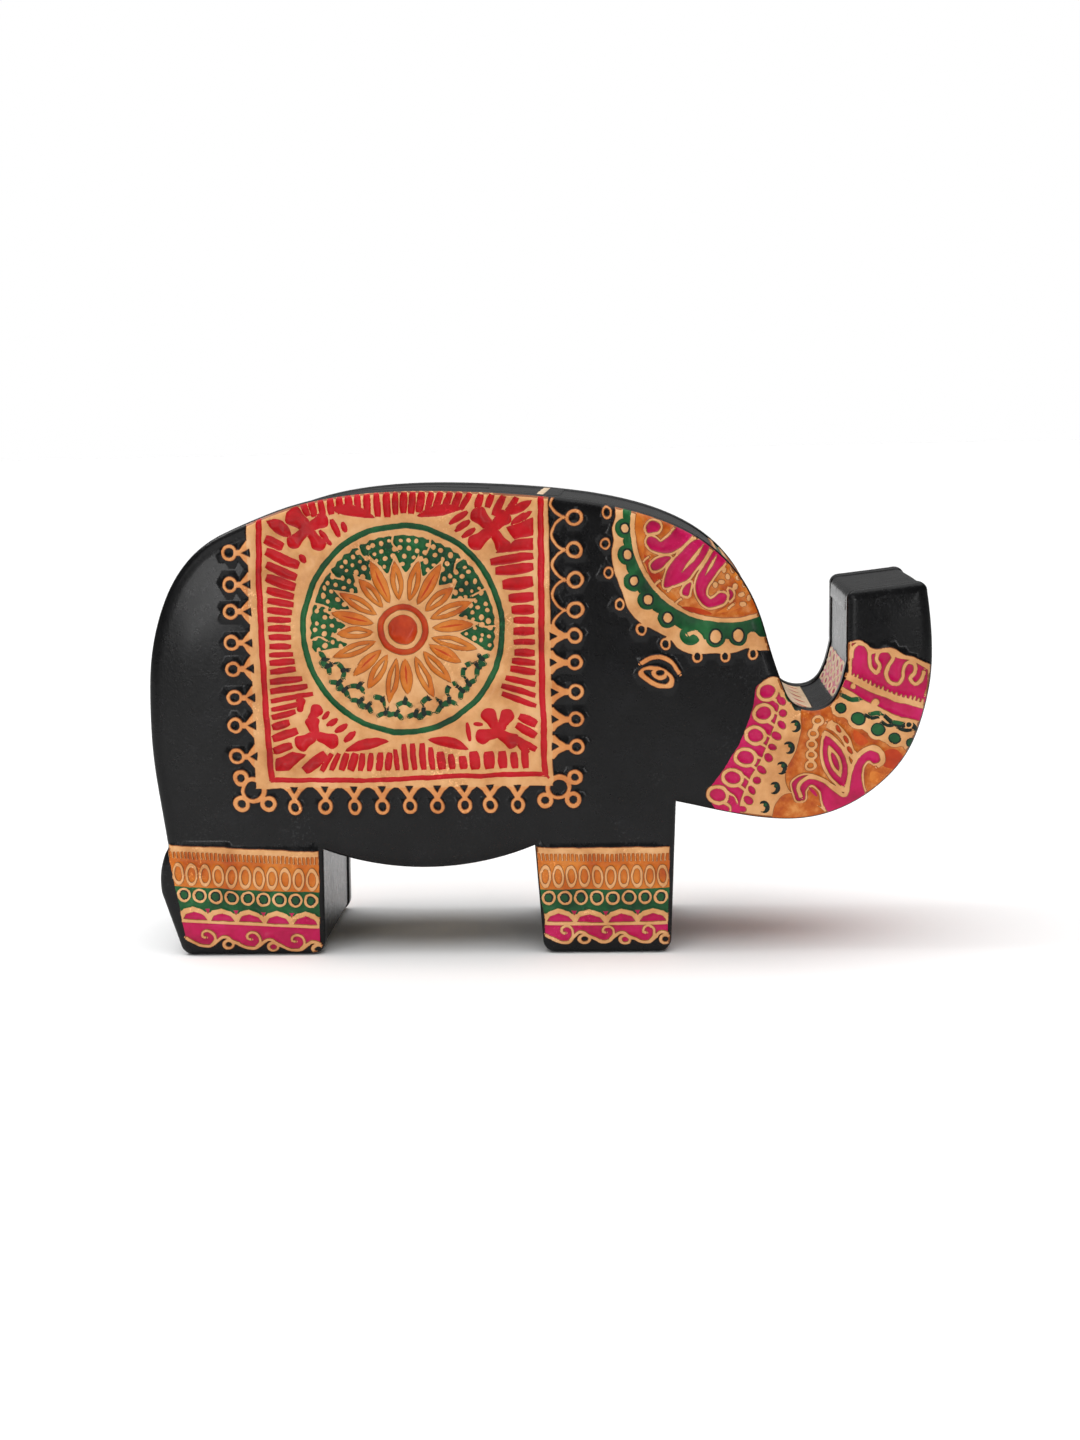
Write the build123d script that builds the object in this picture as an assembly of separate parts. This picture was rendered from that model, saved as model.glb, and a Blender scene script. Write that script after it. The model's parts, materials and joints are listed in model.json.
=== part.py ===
"""Elephant-shaped money box: two padded card sides and a card rim, covered in leather.

Frame: +X is forward, to the raised trunk, +Y is the elephant's left and +Z is up. The origin is
on the ground, under the middle of the outline. Lengths are millimetres.
"""
from build123d import *
import math
import os

# Driving dimensions
WIDTH = 50.0             # over both sides
SKIN = 1.0               # leather
PAD = 1.5                # foam under each side's leather
SIDE_CARD = 2.5          # card of the sides
RIM_CARD = 2.0           # card of the rim
RIM_SET_IN = 0.4         # how far the rim's leather lies inside the sides' outline
EDGE_ROUND = 1.4         # outer edge of the sides' leather

SLOT_LENGTH, SLOT_WIDTH, SLOT_X = 40.0, 5.0, -32.0   # coin slot in the back

# Soles, flush with the lower edges of the sides
HIND_SOLE = (-87.6, -57.4)
FRONT_SOLE = (3.2, 28.7)
SOLE_ZONE = 2.0          # height up to which a sole replaces the rim's leather
FOOT_CARD_TOP = 4.2      # height up to which the card belongs to a foot

# Lock under the belly
LOCK_X = -28.0           # middle of the collar
BORE_R = 12.2            # collar's bore
COLLAR_WALL = 0.8
COLLAR_TOP = 28.8
FLANGE_R, FLANGE = 16.5, 0.9
LIP = 0.6                # turned-in top of the collar
RETAINER_R, RETAINER_TOP = 16.0, 28.2
PLUG_CLEAR = 0.08        # plug in the bore
PLUG_Z, PLUG_PLATE, PLUG_WALL, PLUG_TOP = 21.6, 1.0, 0.8, 27.8
FINGER_SLOT = 2.0        # gap between the plug's spring fingers
PIVOT_OFF = 5.0          # latch pivot, from the middle of the collar
BARREL_R, BARREL_CLEAR, BOSS_WALL = 3.0, 0.05, 1.2
HEAD_R, HEAD, HEAD_GAP = 4.2, 0.8, 0.1
KEY_LENGTH, KEY_WIDTH, KEY_DEPTH = 4.6, 1.4, 4.0
LATCH_GAP, LATCH, LATCH_WIDTH, LATCH_REACH, LATCH_HUB_R = 0.3, 1.2, 4.0, 8.8, 3.9
SQUARE = 3.4             # drive on the barrel's end
NUT_R, NUT = 3.5, 1.3

CARD_INNER_Y = WIDTH / 2 - SKIN - PAD - SIDE_CARD    # half width of the rim
FAR = 400.0              # larger than the object


def biarc(start, start_way, end, end_way):
    """Two arcs that meet smoothly, from start to end, along the two given directions."""
    chord = end - start
    ways = start_way + end_way
    twist = 2 * (1 - start_way.dot(end_way))
    along = chord.dot(ways)
    if twist < 1e-9:
        reach = chord.dot(chord) / (2 * along)
    else:
        reach = (math.sqrt(along ** 2 + twist * chord.dot(chord)) - along) / twist
    middle = (start + end + (start_way - end_way) * reach) / 2
    first = TangentArc(start, middle, tangent=start_way)
    return [first, TangentArc(middle, end, tangent=first % 1)]


def smooth(*points):
    """A smooth chain of arcs through the points."""
    spline = Spline(*points)
    ways = [spline % spline.param_at_point(point) for point in points]
    spots = [Vector(*point) for point in points]
    arcs = []
    for i in range(len(points) - 1):
        arcs += biarc(spots[i], ways[i], spots[i + 1], ways[i + 1])
    return arcs


def outline_wire():
    """The side view's outline, from the hind leg's knee, over the back, and round."""
    knee, crook_end, tip_back, tip_top_back = (-92.6, 27.4), (74.7, 71.4), (74.8, 86.2), (76.8, 88.8)
    tip_top_front, tip_front, chest = (91.8, 90.5), (94.0, 88.2), (33.4, 37.6)
    front_toe, front_toe_under = (31.9, 3.2), (28.7, 0.0)
    front_heel_under, front_heel, armpit = (3.2, 0.0), (0.2, 3.0), (-1.4, 27.0)
    groin, hind_toe, hind_toe_under = (-53.8, 26.4), (-54.2, 3.2), (-57.4, 0.0)
    heel_under, heel, hock = (-87.6, 0.0), (-90.6, 2.6), (-94.7, 15.6)
    back = smooth(
        knee, (-93.9, 38.0), (-95.2, 50.0), (-95.4, 63.0), (-94.5, 75.0), (-92.0, 85.0), (-87.4, 94.6),
        (-80.6, 101.8), (-70.6, 106.9), (-58.0, 111.4), (-44.0, 113.9), (-30.0, 114.6), (-14.0, 114.1),
        (2.0, 112.8), (18.0, 110.3), (30.0, 106.8), (40.0, 101.7), (48.0, 94.4), (53.4, 85.0),
        (57.0, 73.2), (59.6, 65.7), (61.9, 61.6), (66.0, 60.0), (70.4, 61.2), (73.2, 65.6), crook_end,
    )
    trunk = smooth(
        tip_front, (95.1, 78.0), (95.0, 68.0), (93.2, 58.6), (89.4, 49.0), (83.0, 41.5), (74.4, 35.9),
        (65.0, 33.2), (56.0, 33.2), (45.0, 35.0), chest,
    )
    edges = [
        *back,
        Line(crook_end, tip_back),
        RadiusArc(tip_back, tip_top_back, 2.4),
        Line(tip_top_back, tip_top_front),
        RadiusArc(tip_top_front, tip_front, 2.3),
        *trunk,
        Line(chest, front_toe),
        RadiusArc(front_toe, front_toe_under, 3.2),
        Line(front_toe_under, front_heel_under),
        RadiusArc(front_heel_under, front_heel, 3.0),
        Line(front_heel, armpit),
        ThreePointArc(armpit, (-28.0, 21.7), groin),
        Line(groin, hind_toe),
        RadiusArc(hind_toe, hind_toe_under, 3.2),
        Line(hind_toe_under, heel_under),
        RadiusArc(heel_under, heel, 3.1),
        Line(heel, hock),
        ThreePointArc(hock, (-94.7, 21.4), knee),
    ]
    return Wire(edges)


SIDE = Face(outline_wire())

# Corners of the side view where one strip of the rim ends and the next begins
KNEE, GROIN, ARMPIT = (-92.6, 27.4), (-53.8, 26.4), (-1.4, 27.0)
CHEST, BROW, TIP_SEAM_Z = (33.4, 37.6), (59.6, 65.7), 84.0
BACK_SEAM_X = 2.5
TRUNK_MIDDLE = [(50, 51), (66, 47), (80, 58), (84.5, 75), (84.5, TIP_SEAM_Z)]


def inset(depth):
    """The outline's face, moved in by depth."""
    return offset(SIDE, -depth, kind=Kind.ARC) if depth else SIDE


def slab(depth, y_from, y_to):
    """The outline, moved in by depth, as a solid between two planes across Y."""
    face = Plane(origin=(0, y_to, 0), x_dir=(1, 0, 0), z_dir=(0, -1, 0)) * inset(depth)
    return extrude(face, amount=y_to - y_from, dir=(0, -1, 0))


def zone(points):
    """A region of the side view, through the whole width."""
    plane = Plane(origin=(0, FAR, 0), x_dir=(1, 0, 0), z_dir=(0, -1, 0))
    return extrude(plane * make_face(Polyline(*points, close=True)), amount=2 * FAR, dir=(0, -1, 0))


def block(x_from, x_to, z_from, z_to):
    """A rectangle of the side view, through the whole width."""
    return zone([(x_from, z_from), (x_to, z_from), (x_to, z_to), (x_from, z_to)])


def mirrored(solid):
    """The same piece on the elephant's left."""
    return mirror(solid, about=Plane.XZ)


def side_pieces():
    """Leather, foam and card of the elephant's right side, which faces -Y."""
    face_y, inner_y = -WIDTH / 2, -CARD_INNER_Y
    cover = slab(0, face_y, inner_y)
    rim = cover.edges().filter_by_position(Axis.Y, face_y - 0.01, face_y + 0.01)
    leather = fillet(rim, EDGE_ROUND) - slab(SKIN, face_y + SKIN, inner_y + 1)
    foam = slab(SKIN, face_y + SKIN, face_y + SKIN + PAD)
    card = slab(SKIN, face_y + SKIN + PAD, inner_y)
    return {"side_leather": leather, "side_padding": foam, "side_card": card}


def rim_band(depth, thickness):
    """A closed band that follows the outline between the sides, depth inside it."""
    return slab(depth, -CARD_INNER_Y, CARD_INNER_Y) - slab(depth + thickness, -FAR, FAR)


def diagonal(corner, x_way, length=12):
    """Where a mitre that starts at a corner of the outline ends, upwards and along x_way."""
    return (corner[0] + x_way * length, corner[1] + length)


def coin_slot():
    """The slot's cutter, which goes down through the back."""
    return Pos(SLOT_X, 0, 110) * Box(SLOT_LENGTH, SLOT_WIDTH, 30)


def lock_hole():
    """The hole in the belly for the collar."""
    return Pos(LOCK_X, 0, 25) * Cylinder(BORE_R + COLLAR_WALL, 20)


def cut_band(band, zones, rest):
    """The band's pieces inside each zone, in order, and what is left over."""
    pieces = {}
    for name, region in zones.items():
        pieces[name] = band & region
        band = band - region
    pieces[rest] = band
    return pieces


def rim_cards():
    """The card strips between the sides."""
    foot_z = FOOT_CARD_TOP
    chest_in, groin_in, armpit_in = diagonal(CHEST, -1), diagonal(GROIN, -1), diagonal(ARMPIT, 1)
    zones = {
        "hind_foot_card": block(-FAR, -30, -1, foot_z),
        "front_foot_card": block(-30, FAR, -1, foot_z),
        "hind_leg_rear_card": zone([(-FAR, -1), (-75, -1), (-75, KNEE[1]), (-FAR, KNEE[1])]),
        "hind_leg_front_card": zone([(-75, -1), (-45, -1), GROIN, groin_in, (-75, 38)]),
        "front_leg_rear_card": zone([(-5, -1), (15, -1), (15, 38), armpit_in, ARMPIT]),
        "front_leg_front_card": zone([(15, -1), (45, -1), CHEST, chest_in, (15, 38)]),
        "trunk_tip_card": block(66, FAR, TIP_SEAM_Z, FAR),
        "trunk_card": zone([CHEST, chest_in, *TRUNK_MIDDLE, (FAR, TIP_SEAM_Z), (FAR, 10), (45, 10)]),
        "crook_card": zone([BROW, (48, 57), *TRUNK_MIDDLE[1:], (70, TIP_SEAM_Z)]),
        "belly_card": zone([GROIN, groin_in, armpit_in, ARMPIT, (-5, 10), (-45, 10)]),
    }
    strips = cut_band(rim_band(RIM_SET_IN + SKIN, RIM_CARD), zones, "back_card")
    strips["back_card"] -= coin_slot()
    strips["belly_card"] -= lock_hole()
    return strips


def rim_leathers():
    """The leather strips over the rim cards."""
    middle = [(BACK_SEAM_X, 90), (48, 57)]
    zones = {
        "hind_sole": block(*HIND_SOLE, -1, SOLE_ZONE),
        "front_sole": block(*FRONT_SOLE, -1, SOLE_ZONE),
        "trunk_tip_leather": block(66, FAR, TIP_SEAM_Z, FAR),
        "chest_leather": zone([(16, -1), (16, 48), *TRUNK_MIDDLE, (FAR, TIP_SEAM_Z), (FAR, -1)]),
        "belly_leather": zone([(-72, -1), (-72, 48), (16, 48), (16, -1)]),
        "head_leather": zone([(BACK_SEAM_X, FAR), *middle, *TRUNK_MIDDLE[1:], (FAR, TIP_SEAM_Z), (FAR, FAR)]),
    }
    strips = cut_band(rim_band(RIM_SET_IN, SKIN), zones, "back_leather")
    strips["back_leather"] -= coin_slot()
    strips["belly_leather"] -= lock_hole()
    strips["hind_sole"] = sole(*HIND_SOLE)
    strips["front_sole"] = sole(*FRONT_SOLE)
    return strips


def sole(x_from, x_to):
    """A flat sole, from the ground up to the foot's card."""
    top = RIM_SET_IN + SKIN
    return Pos((x_from + x_to) / 2, 0, top / 2) * Box(x_to - x_from, 2 * CARD_INNER_Y, top)


def washer(radius, hole, z, height):
    """A flat ring round the lock's axis, z being its underside."""
    body = Cylinder(radius, height) - Cylinder(hole, height * 2)
    return Pos(LOCK_X, 0, z + height / 2) * body


def lock_collar():
    """Pressed collar: its flange follows the belly, and its top is turned in."""
    inside = slab(RIM_SET_IN, -FAR, FAR)
    lowered = Pos(0, 0, -FLANGE) * inside
    flange = ((Pos(LOCK_X, 0, 23) * Cylinder(FLANGE_R, 8)) & lowered) - inside
    tube = (Pos(LOCK_X, 0, COLLAR_TOP / 2) * Cylinder(BORE_R + COLLAR_WALL, COLLAR_TOP)) & lowered
    bore = Pos(LOCK_X, 0, COLLAR_TOP / 2 - LIP) * Cylinder(BORE_R, COLLAR_TOP)
    mouth = Pos(LOCK_X, 0, COLLAR_TOP) * Cylinder(BORE_R - LIP, 4)
    return flange + tube - bore - mouth


def lock_retainer():
    """Push-on ring that clamps the collar from inside, and follows the belly's card."""
    band = washer(RETAINER_R, BORE_R + COLLAR_WALL, 20, RETAINER_TOP - 20)
    return band & slab(RIM_SET_IN + SKIN + RIM_CARD, -FAR, FAR)


def lock_plug():
    """Round cup with spring fingers, which closes the collar. Its boss carries the barrel."""
    radius = BORE_R - PLUG_CLEAR
    height = PLUG_TOP - PLUG_Z
    plate = Pos(LOCK_X, 0, PLUG_Z + PLUG_PLATE / 2) * Cylinder(radius, PLUG_PLATE)
    skirt = washer(radius, radius - PLUG_WALL, PLUG_Z, height)
    for turn in (45, 135):
        gap = Rot(0, 0, turn) * Box(3 * radius, FINGER_SLOT, height)
        skirt -= Pos(LOCK_X, 0, PLUG_Z + PLUG_PLATE + height / 2) * gap
    x = LOCK_X + PIVOT_OFF
    bearing = BARREL_R + BARREL_CLEAR
    boss = Pos(x, 0, (PLUG_Z + COLLAR_TOP) / 2) * Cylinder(bearing + BOSS_WALL, COLLAR_TOP - PLUG_Z)
    return plate + skirt + boss - Pos(x, 0, 25) * Cylinder(bearing, 40)


def latch_pieces():
    """Barrel with its keyhole, the latch on the barrel's square, and the nut that holds it."""
    x = LOCK_X + PIVOT_OFF
    latch_z = COLLAR_TOP + LATCH_GAP
    stem_z = PLUG_Z - HEAD_GAP
    stem = Pos(x, 0, (stem_z + latch_z) / 2) * Cylinder(BARREL_R, latch_z - stem_z)
    head = Pos(x, 0, stem_z - HEAD / 2) * Cylinder(HEAD_R, HEAD)
    drive = Pos(x, 0, latch_z + (LATCH + NUT) / 2) * Box(SQUARE, SQUARE, LATCH + NUT)
    barrel = stem + head + drive - Pos(x, 0, stem_z - HEAD) * Box(KEY_WIDTH, KEY_LENGTH, 2 * KEY_DEPTH)
    square_hole = Pos(x, 0, latch_z) * Box(SQUARE, SQUARE, 20)
    end = LATCH_REACH - LATCH_WIDTH / 2
    level = latch_z + LATCH / 2
    latch = Pos(x, end / 2, level) * Box(LATCH_WIDTH, end, LATCH)
    latch += Pos(x, end, level) * Cylinder(LATCH_WIDTH / 2, LATCH)
    latch += Pos(x, 0, level) * Cylinder(LATCH_HUB_R, LATCH)
    nut = Pos(x, 0, latch_z + LATCH) * extrude(RegularPolygon(NUT_R, 6), amount=NUT)
    return {"lock_barrel": barrel, "lock_latch": latch - square_hole, "lock_nut": nut - square_hole}


def one_solid(name, shape):
    """The shape's only solid."""
    solids = shape.solids()
    if len(solids) != 1:
        raise ValueError(f"{name} has {len(solids)} solids of {[round(s.volume, 2) for s in solids]}")
    return solids[0]


def main():
    os.makedirs("parts", exist_ok=True)
    pieces = {}
    for name, solid in side_pieces().items():
        pieces[f"right_{name}"] = solid
        pieces[f"left_{name}"] = mirrored(solid)
    pieces.update(rim_cards())
    pieces.update(rim_leathers())
    pieces["lock_collar"] = lock_collar()
    pieces["lock_retainer"] = lock_retainer()
    pieces["lock_plug"] = lock_plug()
    pieces.update(latch_pieces())
    for name, shape in pieces.items():
        export_step(one_solid(name, shape), f"parts/{name}.step")


main()
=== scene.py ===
"""Looks of the leather elephant money box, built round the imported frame.

The leather sheets are drawn flat in millimetres, cut into triangles along every embossed line, and
then laid over the box: raised lines stand proud of the ground, and the edges roll over.
"""

import json
import math

import bpy
import numpy as np
from mathutils import Matrix, Vector, kdtree, noise
from mathutils.geometry import delaunay_2d_cdt


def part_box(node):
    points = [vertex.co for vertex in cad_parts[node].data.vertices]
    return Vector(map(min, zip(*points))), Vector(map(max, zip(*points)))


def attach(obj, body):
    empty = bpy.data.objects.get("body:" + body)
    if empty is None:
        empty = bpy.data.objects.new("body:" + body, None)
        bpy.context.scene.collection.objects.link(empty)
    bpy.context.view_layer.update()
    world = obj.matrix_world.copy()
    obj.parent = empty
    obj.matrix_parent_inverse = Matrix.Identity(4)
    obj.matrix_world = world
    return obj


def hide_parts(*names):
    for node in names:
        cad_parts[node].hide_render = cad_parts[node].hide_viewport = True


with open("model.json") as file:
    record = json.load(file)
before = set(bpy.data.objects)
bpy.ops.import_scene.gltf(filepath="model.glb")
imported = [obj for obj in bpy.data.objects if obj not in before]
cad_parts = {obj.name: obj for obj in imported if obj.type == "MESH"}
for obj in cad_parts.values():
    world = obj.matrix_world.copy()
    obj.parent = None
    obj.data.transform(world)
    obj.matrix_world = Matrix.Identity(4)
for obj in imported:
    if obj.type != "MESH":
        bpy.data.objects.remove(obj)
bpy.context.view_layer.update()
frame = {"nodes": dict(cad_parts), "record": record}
noise.seed_set(7)        # noise_vector would take its seed from the clock, and differ in every run

MM = 0.001
FACE_Y = -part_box("right_side_leather")[0][1] / MM       # half width over the sides
RIM_Y = -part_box("right_side_leather")[1][1] / MM        # half width of the rim between them
TOP_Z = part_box("right_side_leather")[1][2] / MM

# Section of the embossed sides, in millimetres
RELIEF = 0.30            # height of a raised line
SLOPE = 0.15             # width of its flank
GROUND_IN = 0.45         # ground's depth below the widest point
CROWN, BELLY = 0.80, 0.45   # padded swell near the edge, and of the middle
ROLL_IN, ROLL_DEEP = 2.6, 1.2   # width and depth of the rolled edge
EDGE_BAND = 0.35         # plain black edge
STEP = 0.55              # spacing of points along a drawn line
LONGEST_FLANK = 0.75     # longest edge of a flank's triangle

# How the sheets are cut into triangles
PAST_BORDER = 1.2        # how far past the border a drawn line still counts
ROW_SPACING = 0.87       # gap between rows of the grid, in spacings
CLEAR = 0.42             # gap between the grid and a drawn line, in spacings
LONGEST_FACET = 5.0      # an outline's edge longer than this is straight on the object too
SHARP_CORNER = 48.0      # degrees from which a corner of the outline stays a corner

# the last colour is the brown of painted shade on the flanks of raised lines
BLACK, TAN, RED, GREEN, ORANGE, AMBER, MAGENTA, MOTTLE, INK, CREAM, PINK, HONEY, FLANK_SHADE = range(13)
RAISED = {TAN: 1.0, HONEY: 1.0, CREAM: 0.7}


# ---------------------------------------------------------------- drawing

def curve(points, closed=False, step=STEP):
    """Points along a smooth curve through the given ones."""
    pts = np.array(points, float)
    n = len(pts)
    if closed:
        before, after = np.roll(pts, 1, 0), np.roll(pts, -1, 0)
    else:
        before = np.vstack([2 * pts[:1] - pts[1:2], pts[:-1]])
        after = np.vstack([pts[1:], 2 * pts[-1:] - pts[-2:-1]])
    h_in = np.maximum(np.linalg.norm(pts - before, axis=1, keepdims=True), 1e-6)
    h_out = np.maximum(np.linalg.norm(after - pts, axis=1, keepdims=True), 1e-6)
    way = ((pts - before) / h_in * h_out + (after - pts) / h_out * h_in) / (h_in + h_out)
    out = []
    for i in range(n if closed else n - 1):
        j = (i + 1) % n
        span = h_out[i]
        t = np.arange(max(2, int(math.ceil(span[0] / step)))) / max(2, int(math.ceil(span[0] / step)))
        t = t[:, None]
        out.append(pts[i] * (1 + 2 * t) * (1 - t) ** 2 + pts[j] * t * t * (3 - 2 * t)
                   + span * (way[i] * t * (1 - t) ** 2 - way[j] * t * t * (1 - t)))
    if not closed:
        out.append(pts[-1:])
    return np.vstack(out)


def straight(points, closed=True, step=STEP):
    """Points along straight runs between the given ones."""
    pts = [np.array(p, float) for p in points]
    if closed:
        pts.append(pts[0])
    out = []
    for a, b in zip(pts, pts[1:]):
        count = max(1, int(math.ceil(np.linalg.norm(b - a) / step)))
        out += [a + (b - a) * k / count for k in range(count)]
    if not closed:
        out.append(pts[-1])
    return np.array(out)


def signed_area(loop):
    x, z = loop[:, 0], loop[:, 1]
    return 0.5 * float(np.sum(x * np.roll(z, -1) - np.roll(x, -1) * z))


def moved_in(loop, depth):
    """The loop, moved inwards by depth, or outwards if it is negative."""
    way = np.roll(loop, -1, 0) - np.roll(loop, 1, 0)
    way /= np.maximum(np.linalg.norm(way, axis=1, keepdims=True), 1e-9)
    normal = np.stack([-way[:, 1], way[:, 0]], 1)
    return loop + normal * depth * (1 if signed_area(loop) > 0 else -1)


def inside(loop, spots):
    """Which of the spots lie inside the loop."""
    result = np.zeros(len(spots), bool)
    low, high = loop.min(0), loop.max(0)
    near = np.nonzero(((spots >= low) & (spots <= high)).all(1))[0]
    if not len(near):
        return result
    x, z = spots[near, 0], spots[near, 1]
    hits = np.zeros(len(near), bool)
    for (x0, z0), (x1, z1) in zip(loop, np.roll(loop, -1, 0)):
        if z0 == z1:
            continue
        crosses = ((z0 > z) != (z1 > z)) & (x < (x1 - x0) * (z - z0) / (z1 - z0) + x0)
        hits ^= crosses
    result[near] = hits
    return result


class Design:
    """Shapes on a flat sheet of leather. A later shape lies over the earlier ones."""

    def __init__(self, wobble=0.16):
        self.shapes = []
        self.wobble = wobble

    def by_hand(self, loop):
        """The loop, a little uneven, as a hand-cut die leaves it."""
        out = []
        for x, z in loop:
            broad = noise.noise_vector(Vector((x * 0.23, z * 0.23, 3.7)))
            fine = noise.noise_vector(Vector((x * 0.9, z * 0.9, 9.1)))
            out.append((x + self.wobble * (broad.x * 1.6 + fine.x * 0.7),
                        z + self.wobble * (broad.y * 1.6 + fine.y * 0.7)))
        return np.array(out)

    def area(self, loop, colour):
        self.shapes.append((self.by_hand(np.array(loop)), colour))

    def fill(self, points, colour):
        self.area(straight(points), colour)

    def blob(self, points, colour):
        self.area(curve(points, closed=True), colour)

    def disc(self, x, z, r, colour, rz=None, turn=0.0):
        rz = rz or r
        count = max(10, int(2 * math.pi * max(r, rz) / STEP))
        a = np.linspace(0, 2 * math.pi, count, endpoint=False)
        px, pz = r * np.cos(a), rz * np.sin(a)
        c, s = math.cos(math.radians(turn)), math.sin(math.radians(turn))
        self.area(np.stack([x + px * c - pz * s, z + px * s + pz * c], 1), colour)

    def ring(self, x, z, outer, inner, colour, hole):
        self.disc(x, z, outer, colour)
        self.disc(x, z, inner, hole)

    def stroke(self, points, width, colour, smooth=True, taper=0.0):
        """A line with round ends. taper narrows it towards its far end."""
        line = curve(points) if smooth else straight(points, closed=False)
        way = np.gradient(line, axis=0)
        way /= np.maximum(np.linalg.norm(way, axis=1, keepdims=True), 1e-9)
        normal = np.stack([-way[:, 1], way[:, 0]], 1)
        half = width / 2 * (1 - taper * np.linspace(0, 1, len(line)))[:, None]
        cap = [math.radians(t) for t in (-45, 0, 45)]
        end = [line[-1] + half[-1] * (way[-1] * math.cos(t) - normal[-1] * math.sin(t)) for t in cap][::-1]
        start = [line[0] - half[0] * (way[0] * math.cos(t) + normal[0] * math.sin(t)) for t in cap]
        loop = [*(line - normal * half), *end[::-1], *(line + normal * half)[::-1], *start[::-1]]
        self.area(loop, colour)

    def leaf(self, start, end, width, colour, bend=0.0, blunt=0.0):
        """A pointed leaf. bend bows it to the left, and blunt keeps that share of its width at the ends."""
        a, b = np.array(start, float), np.array(end, float)
        along = b - a
        length = np.linalg.norm(along)
        side = np.array([-along[1], along[0]]) / length
        count = max(5, int(length / STEP))
        t = np.linspace(0, 1, count + 1)
        bow = 4 * t * (1 - t)
        spread = width / 2 * (blunt + (1 - blunt) * np.sin(math.pi * t) ** 0.8)
        middle = a + along * t[:, None] + side * (bend * bow)[:, None]
        right = middle - side * spread[:, None]
        left = middle + side * spread[:, None]
        self.area([*right, *left[::-1][0 if blunt else 1:None if blunt else -1]], colour)

    def dash(self, start, end, width, colour):
        """A short painted bar with soft corners."""
        self.leaf(start, end, width, colour, blunt=0.72)

    def petal(self, centre, angle, reach, width, colour):
        """A lobe that widens to a round end."""
        c, s = math.cos(math.radians(angle)), math.sin(math.radians(angle))
        profile = [(0.0, -0.16), (reach * 0.5, -0.38), (reach * 0.82, -0.5), (reach, 0.0),
                   (reach * 0.82, 0.5), (reach * 0.5, 0.38), (0.0, 0.16)]
        points = [(centre[0] + u * c - v * width * s, centre[1] + u * s + v * width * c) for u, v in profile]
        self.blob(points, colour)


# ---------------------------------------------------------------- the sides' ornament

CLOTH_LEFT, CLOTH_RIGHT, CLOTH_LOW = -69.6, 3.6, 42.2
LEFT_RINGS = (100.2, 92.6, 85.9, 78.3, 72.0, 64.9, 58.0, 50.4)
RIGHT_RINGS = (107.3, 99.6, 92.5, 85.2, 79.0, 72.5, 65.2, 58.6, 51.8)
LOOPED = 4               # the upper right rings, which hang on loops and not on necks
LOW_RINGS = (-60.1, -52.7, -45.3, -38.5, -31.7, -25.0, -18.2, -12.0, -5.2)
SUN = (-32.2, 81.0)


def fringe_ring(d, x, z, way, reach):
    """A ring on a forked neck that grows from the cloth's border.

    way is +1 where the border is at the ring's right, and -1 where it is at its left."""
    border = x + way * reach
    neck = [(x + way * 1.0, z + 0.75), (x + way * 2.6, z + 0.8), (border - way * 0.9, z + 1.9),
            (border, z + 3.0), (border + way, z + 3.0), (border + way, z - 3.0), (border, z - 3.0),
            (border - way * 0.9, z - 1.9), (x + way * 2.6, z - 0.8), (x + way * 1.0, z - 0.75)]
    d.fill(neck, HONEY)
    d.ring(x, z, 2.0, 1.1, HONEY, BLACK)
    notch = [(border - way * 1.15, z), (border + way * 0.7, z + 1.05), (border + way * 0.75, z - 1.05)]
    d.fill(notch, BLACK)


def drop_ring(d, x, z):
    """A ring that hangs from the cloth's lower border."""
    top = CLOTH_LOW
    neck = [(x - 0.75, z + 1.0), (x - 0.8, z + 2.2), (x - 1.9, top - 0.9), (x - 3.0, top),
            (x - 3.0, top + 1), (x + 3.0, top + 1), (x + 3.0, top), (x + 1.9, top - 0.9),
            (x + 0.8, z + 2.2), (x + 0.75, z + 1.0)]
    d.fill(neck, HONEY)
    d.disc(x, z, 1.85, HONEY, 2.1)
    d.disc(x, z, 0.9, BLACK, 1.1)
    d.fill([(x, top - 1.3), (x + 0.95, top + 0.35), (x - 0.95, top + 0.35)], BLACK)


def corner_rings(d, places, meet, hub, core):
    """Three rings at a lower corner of the cloth, joined to a larger one."""
    for x, z in places:
        d.stroke([(x, z), meet], 1.6, HONEY, smooth=False)
        d.disc(x, z, 2.1, HONEY)
    d.disc(*hub, HONEY)
    d.disc(*core, BLACK)
    for x, z in places:
        d.disc(x, z, 0.95, BLACK)


def cloth_fringe(d):
    for z in LEFT_RINGS:
        fringe_ring(d, -74.0, z, 1, 4.3)
    for x in LOW_RINGS:
        drop_ring(d, x, 37.5)
    corner_rings(d, ((-73.3, 44.9), (-73.3, 38.6), (-66.7, 38.4)), (-69.8, 42.0),
                 (-70.2, 41.9, 3.3), (-70.4, 41.8, 2.1))
    corner_rings(d, ((1.5, 38.5), (8.4, 38.6), (8.8, 44.2)), (4.6, 41.8), (4.8, 41.8, 3.2), (4.9, 41.6, 2.0))
    for z in RIGHT_RINGS[LOOPED:]:
        fringe_ring(d, 9.4, z, -1, 5.4)
    for upper, lower in zip((114.0,) + RIGHT_RINGS[:LOOPED], RIGHT_RINGS[:LOOPED + 1]):
        middle = (upper + lower) / 2
        bulge = [(7.4, upper + 0.3), (5.2, upper - 1.4), (4.1, middle), (5.2, lower + 1.4),
                 (7.4, lower - 0.2)]
        d.stroke(bulge, 0.8, HONEY)
    for z in RIGHT_RINGS[:LOOPED]:
        d.ring(9.7, z, 2.15, 1.25, HONEY, BLACK)


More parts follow.
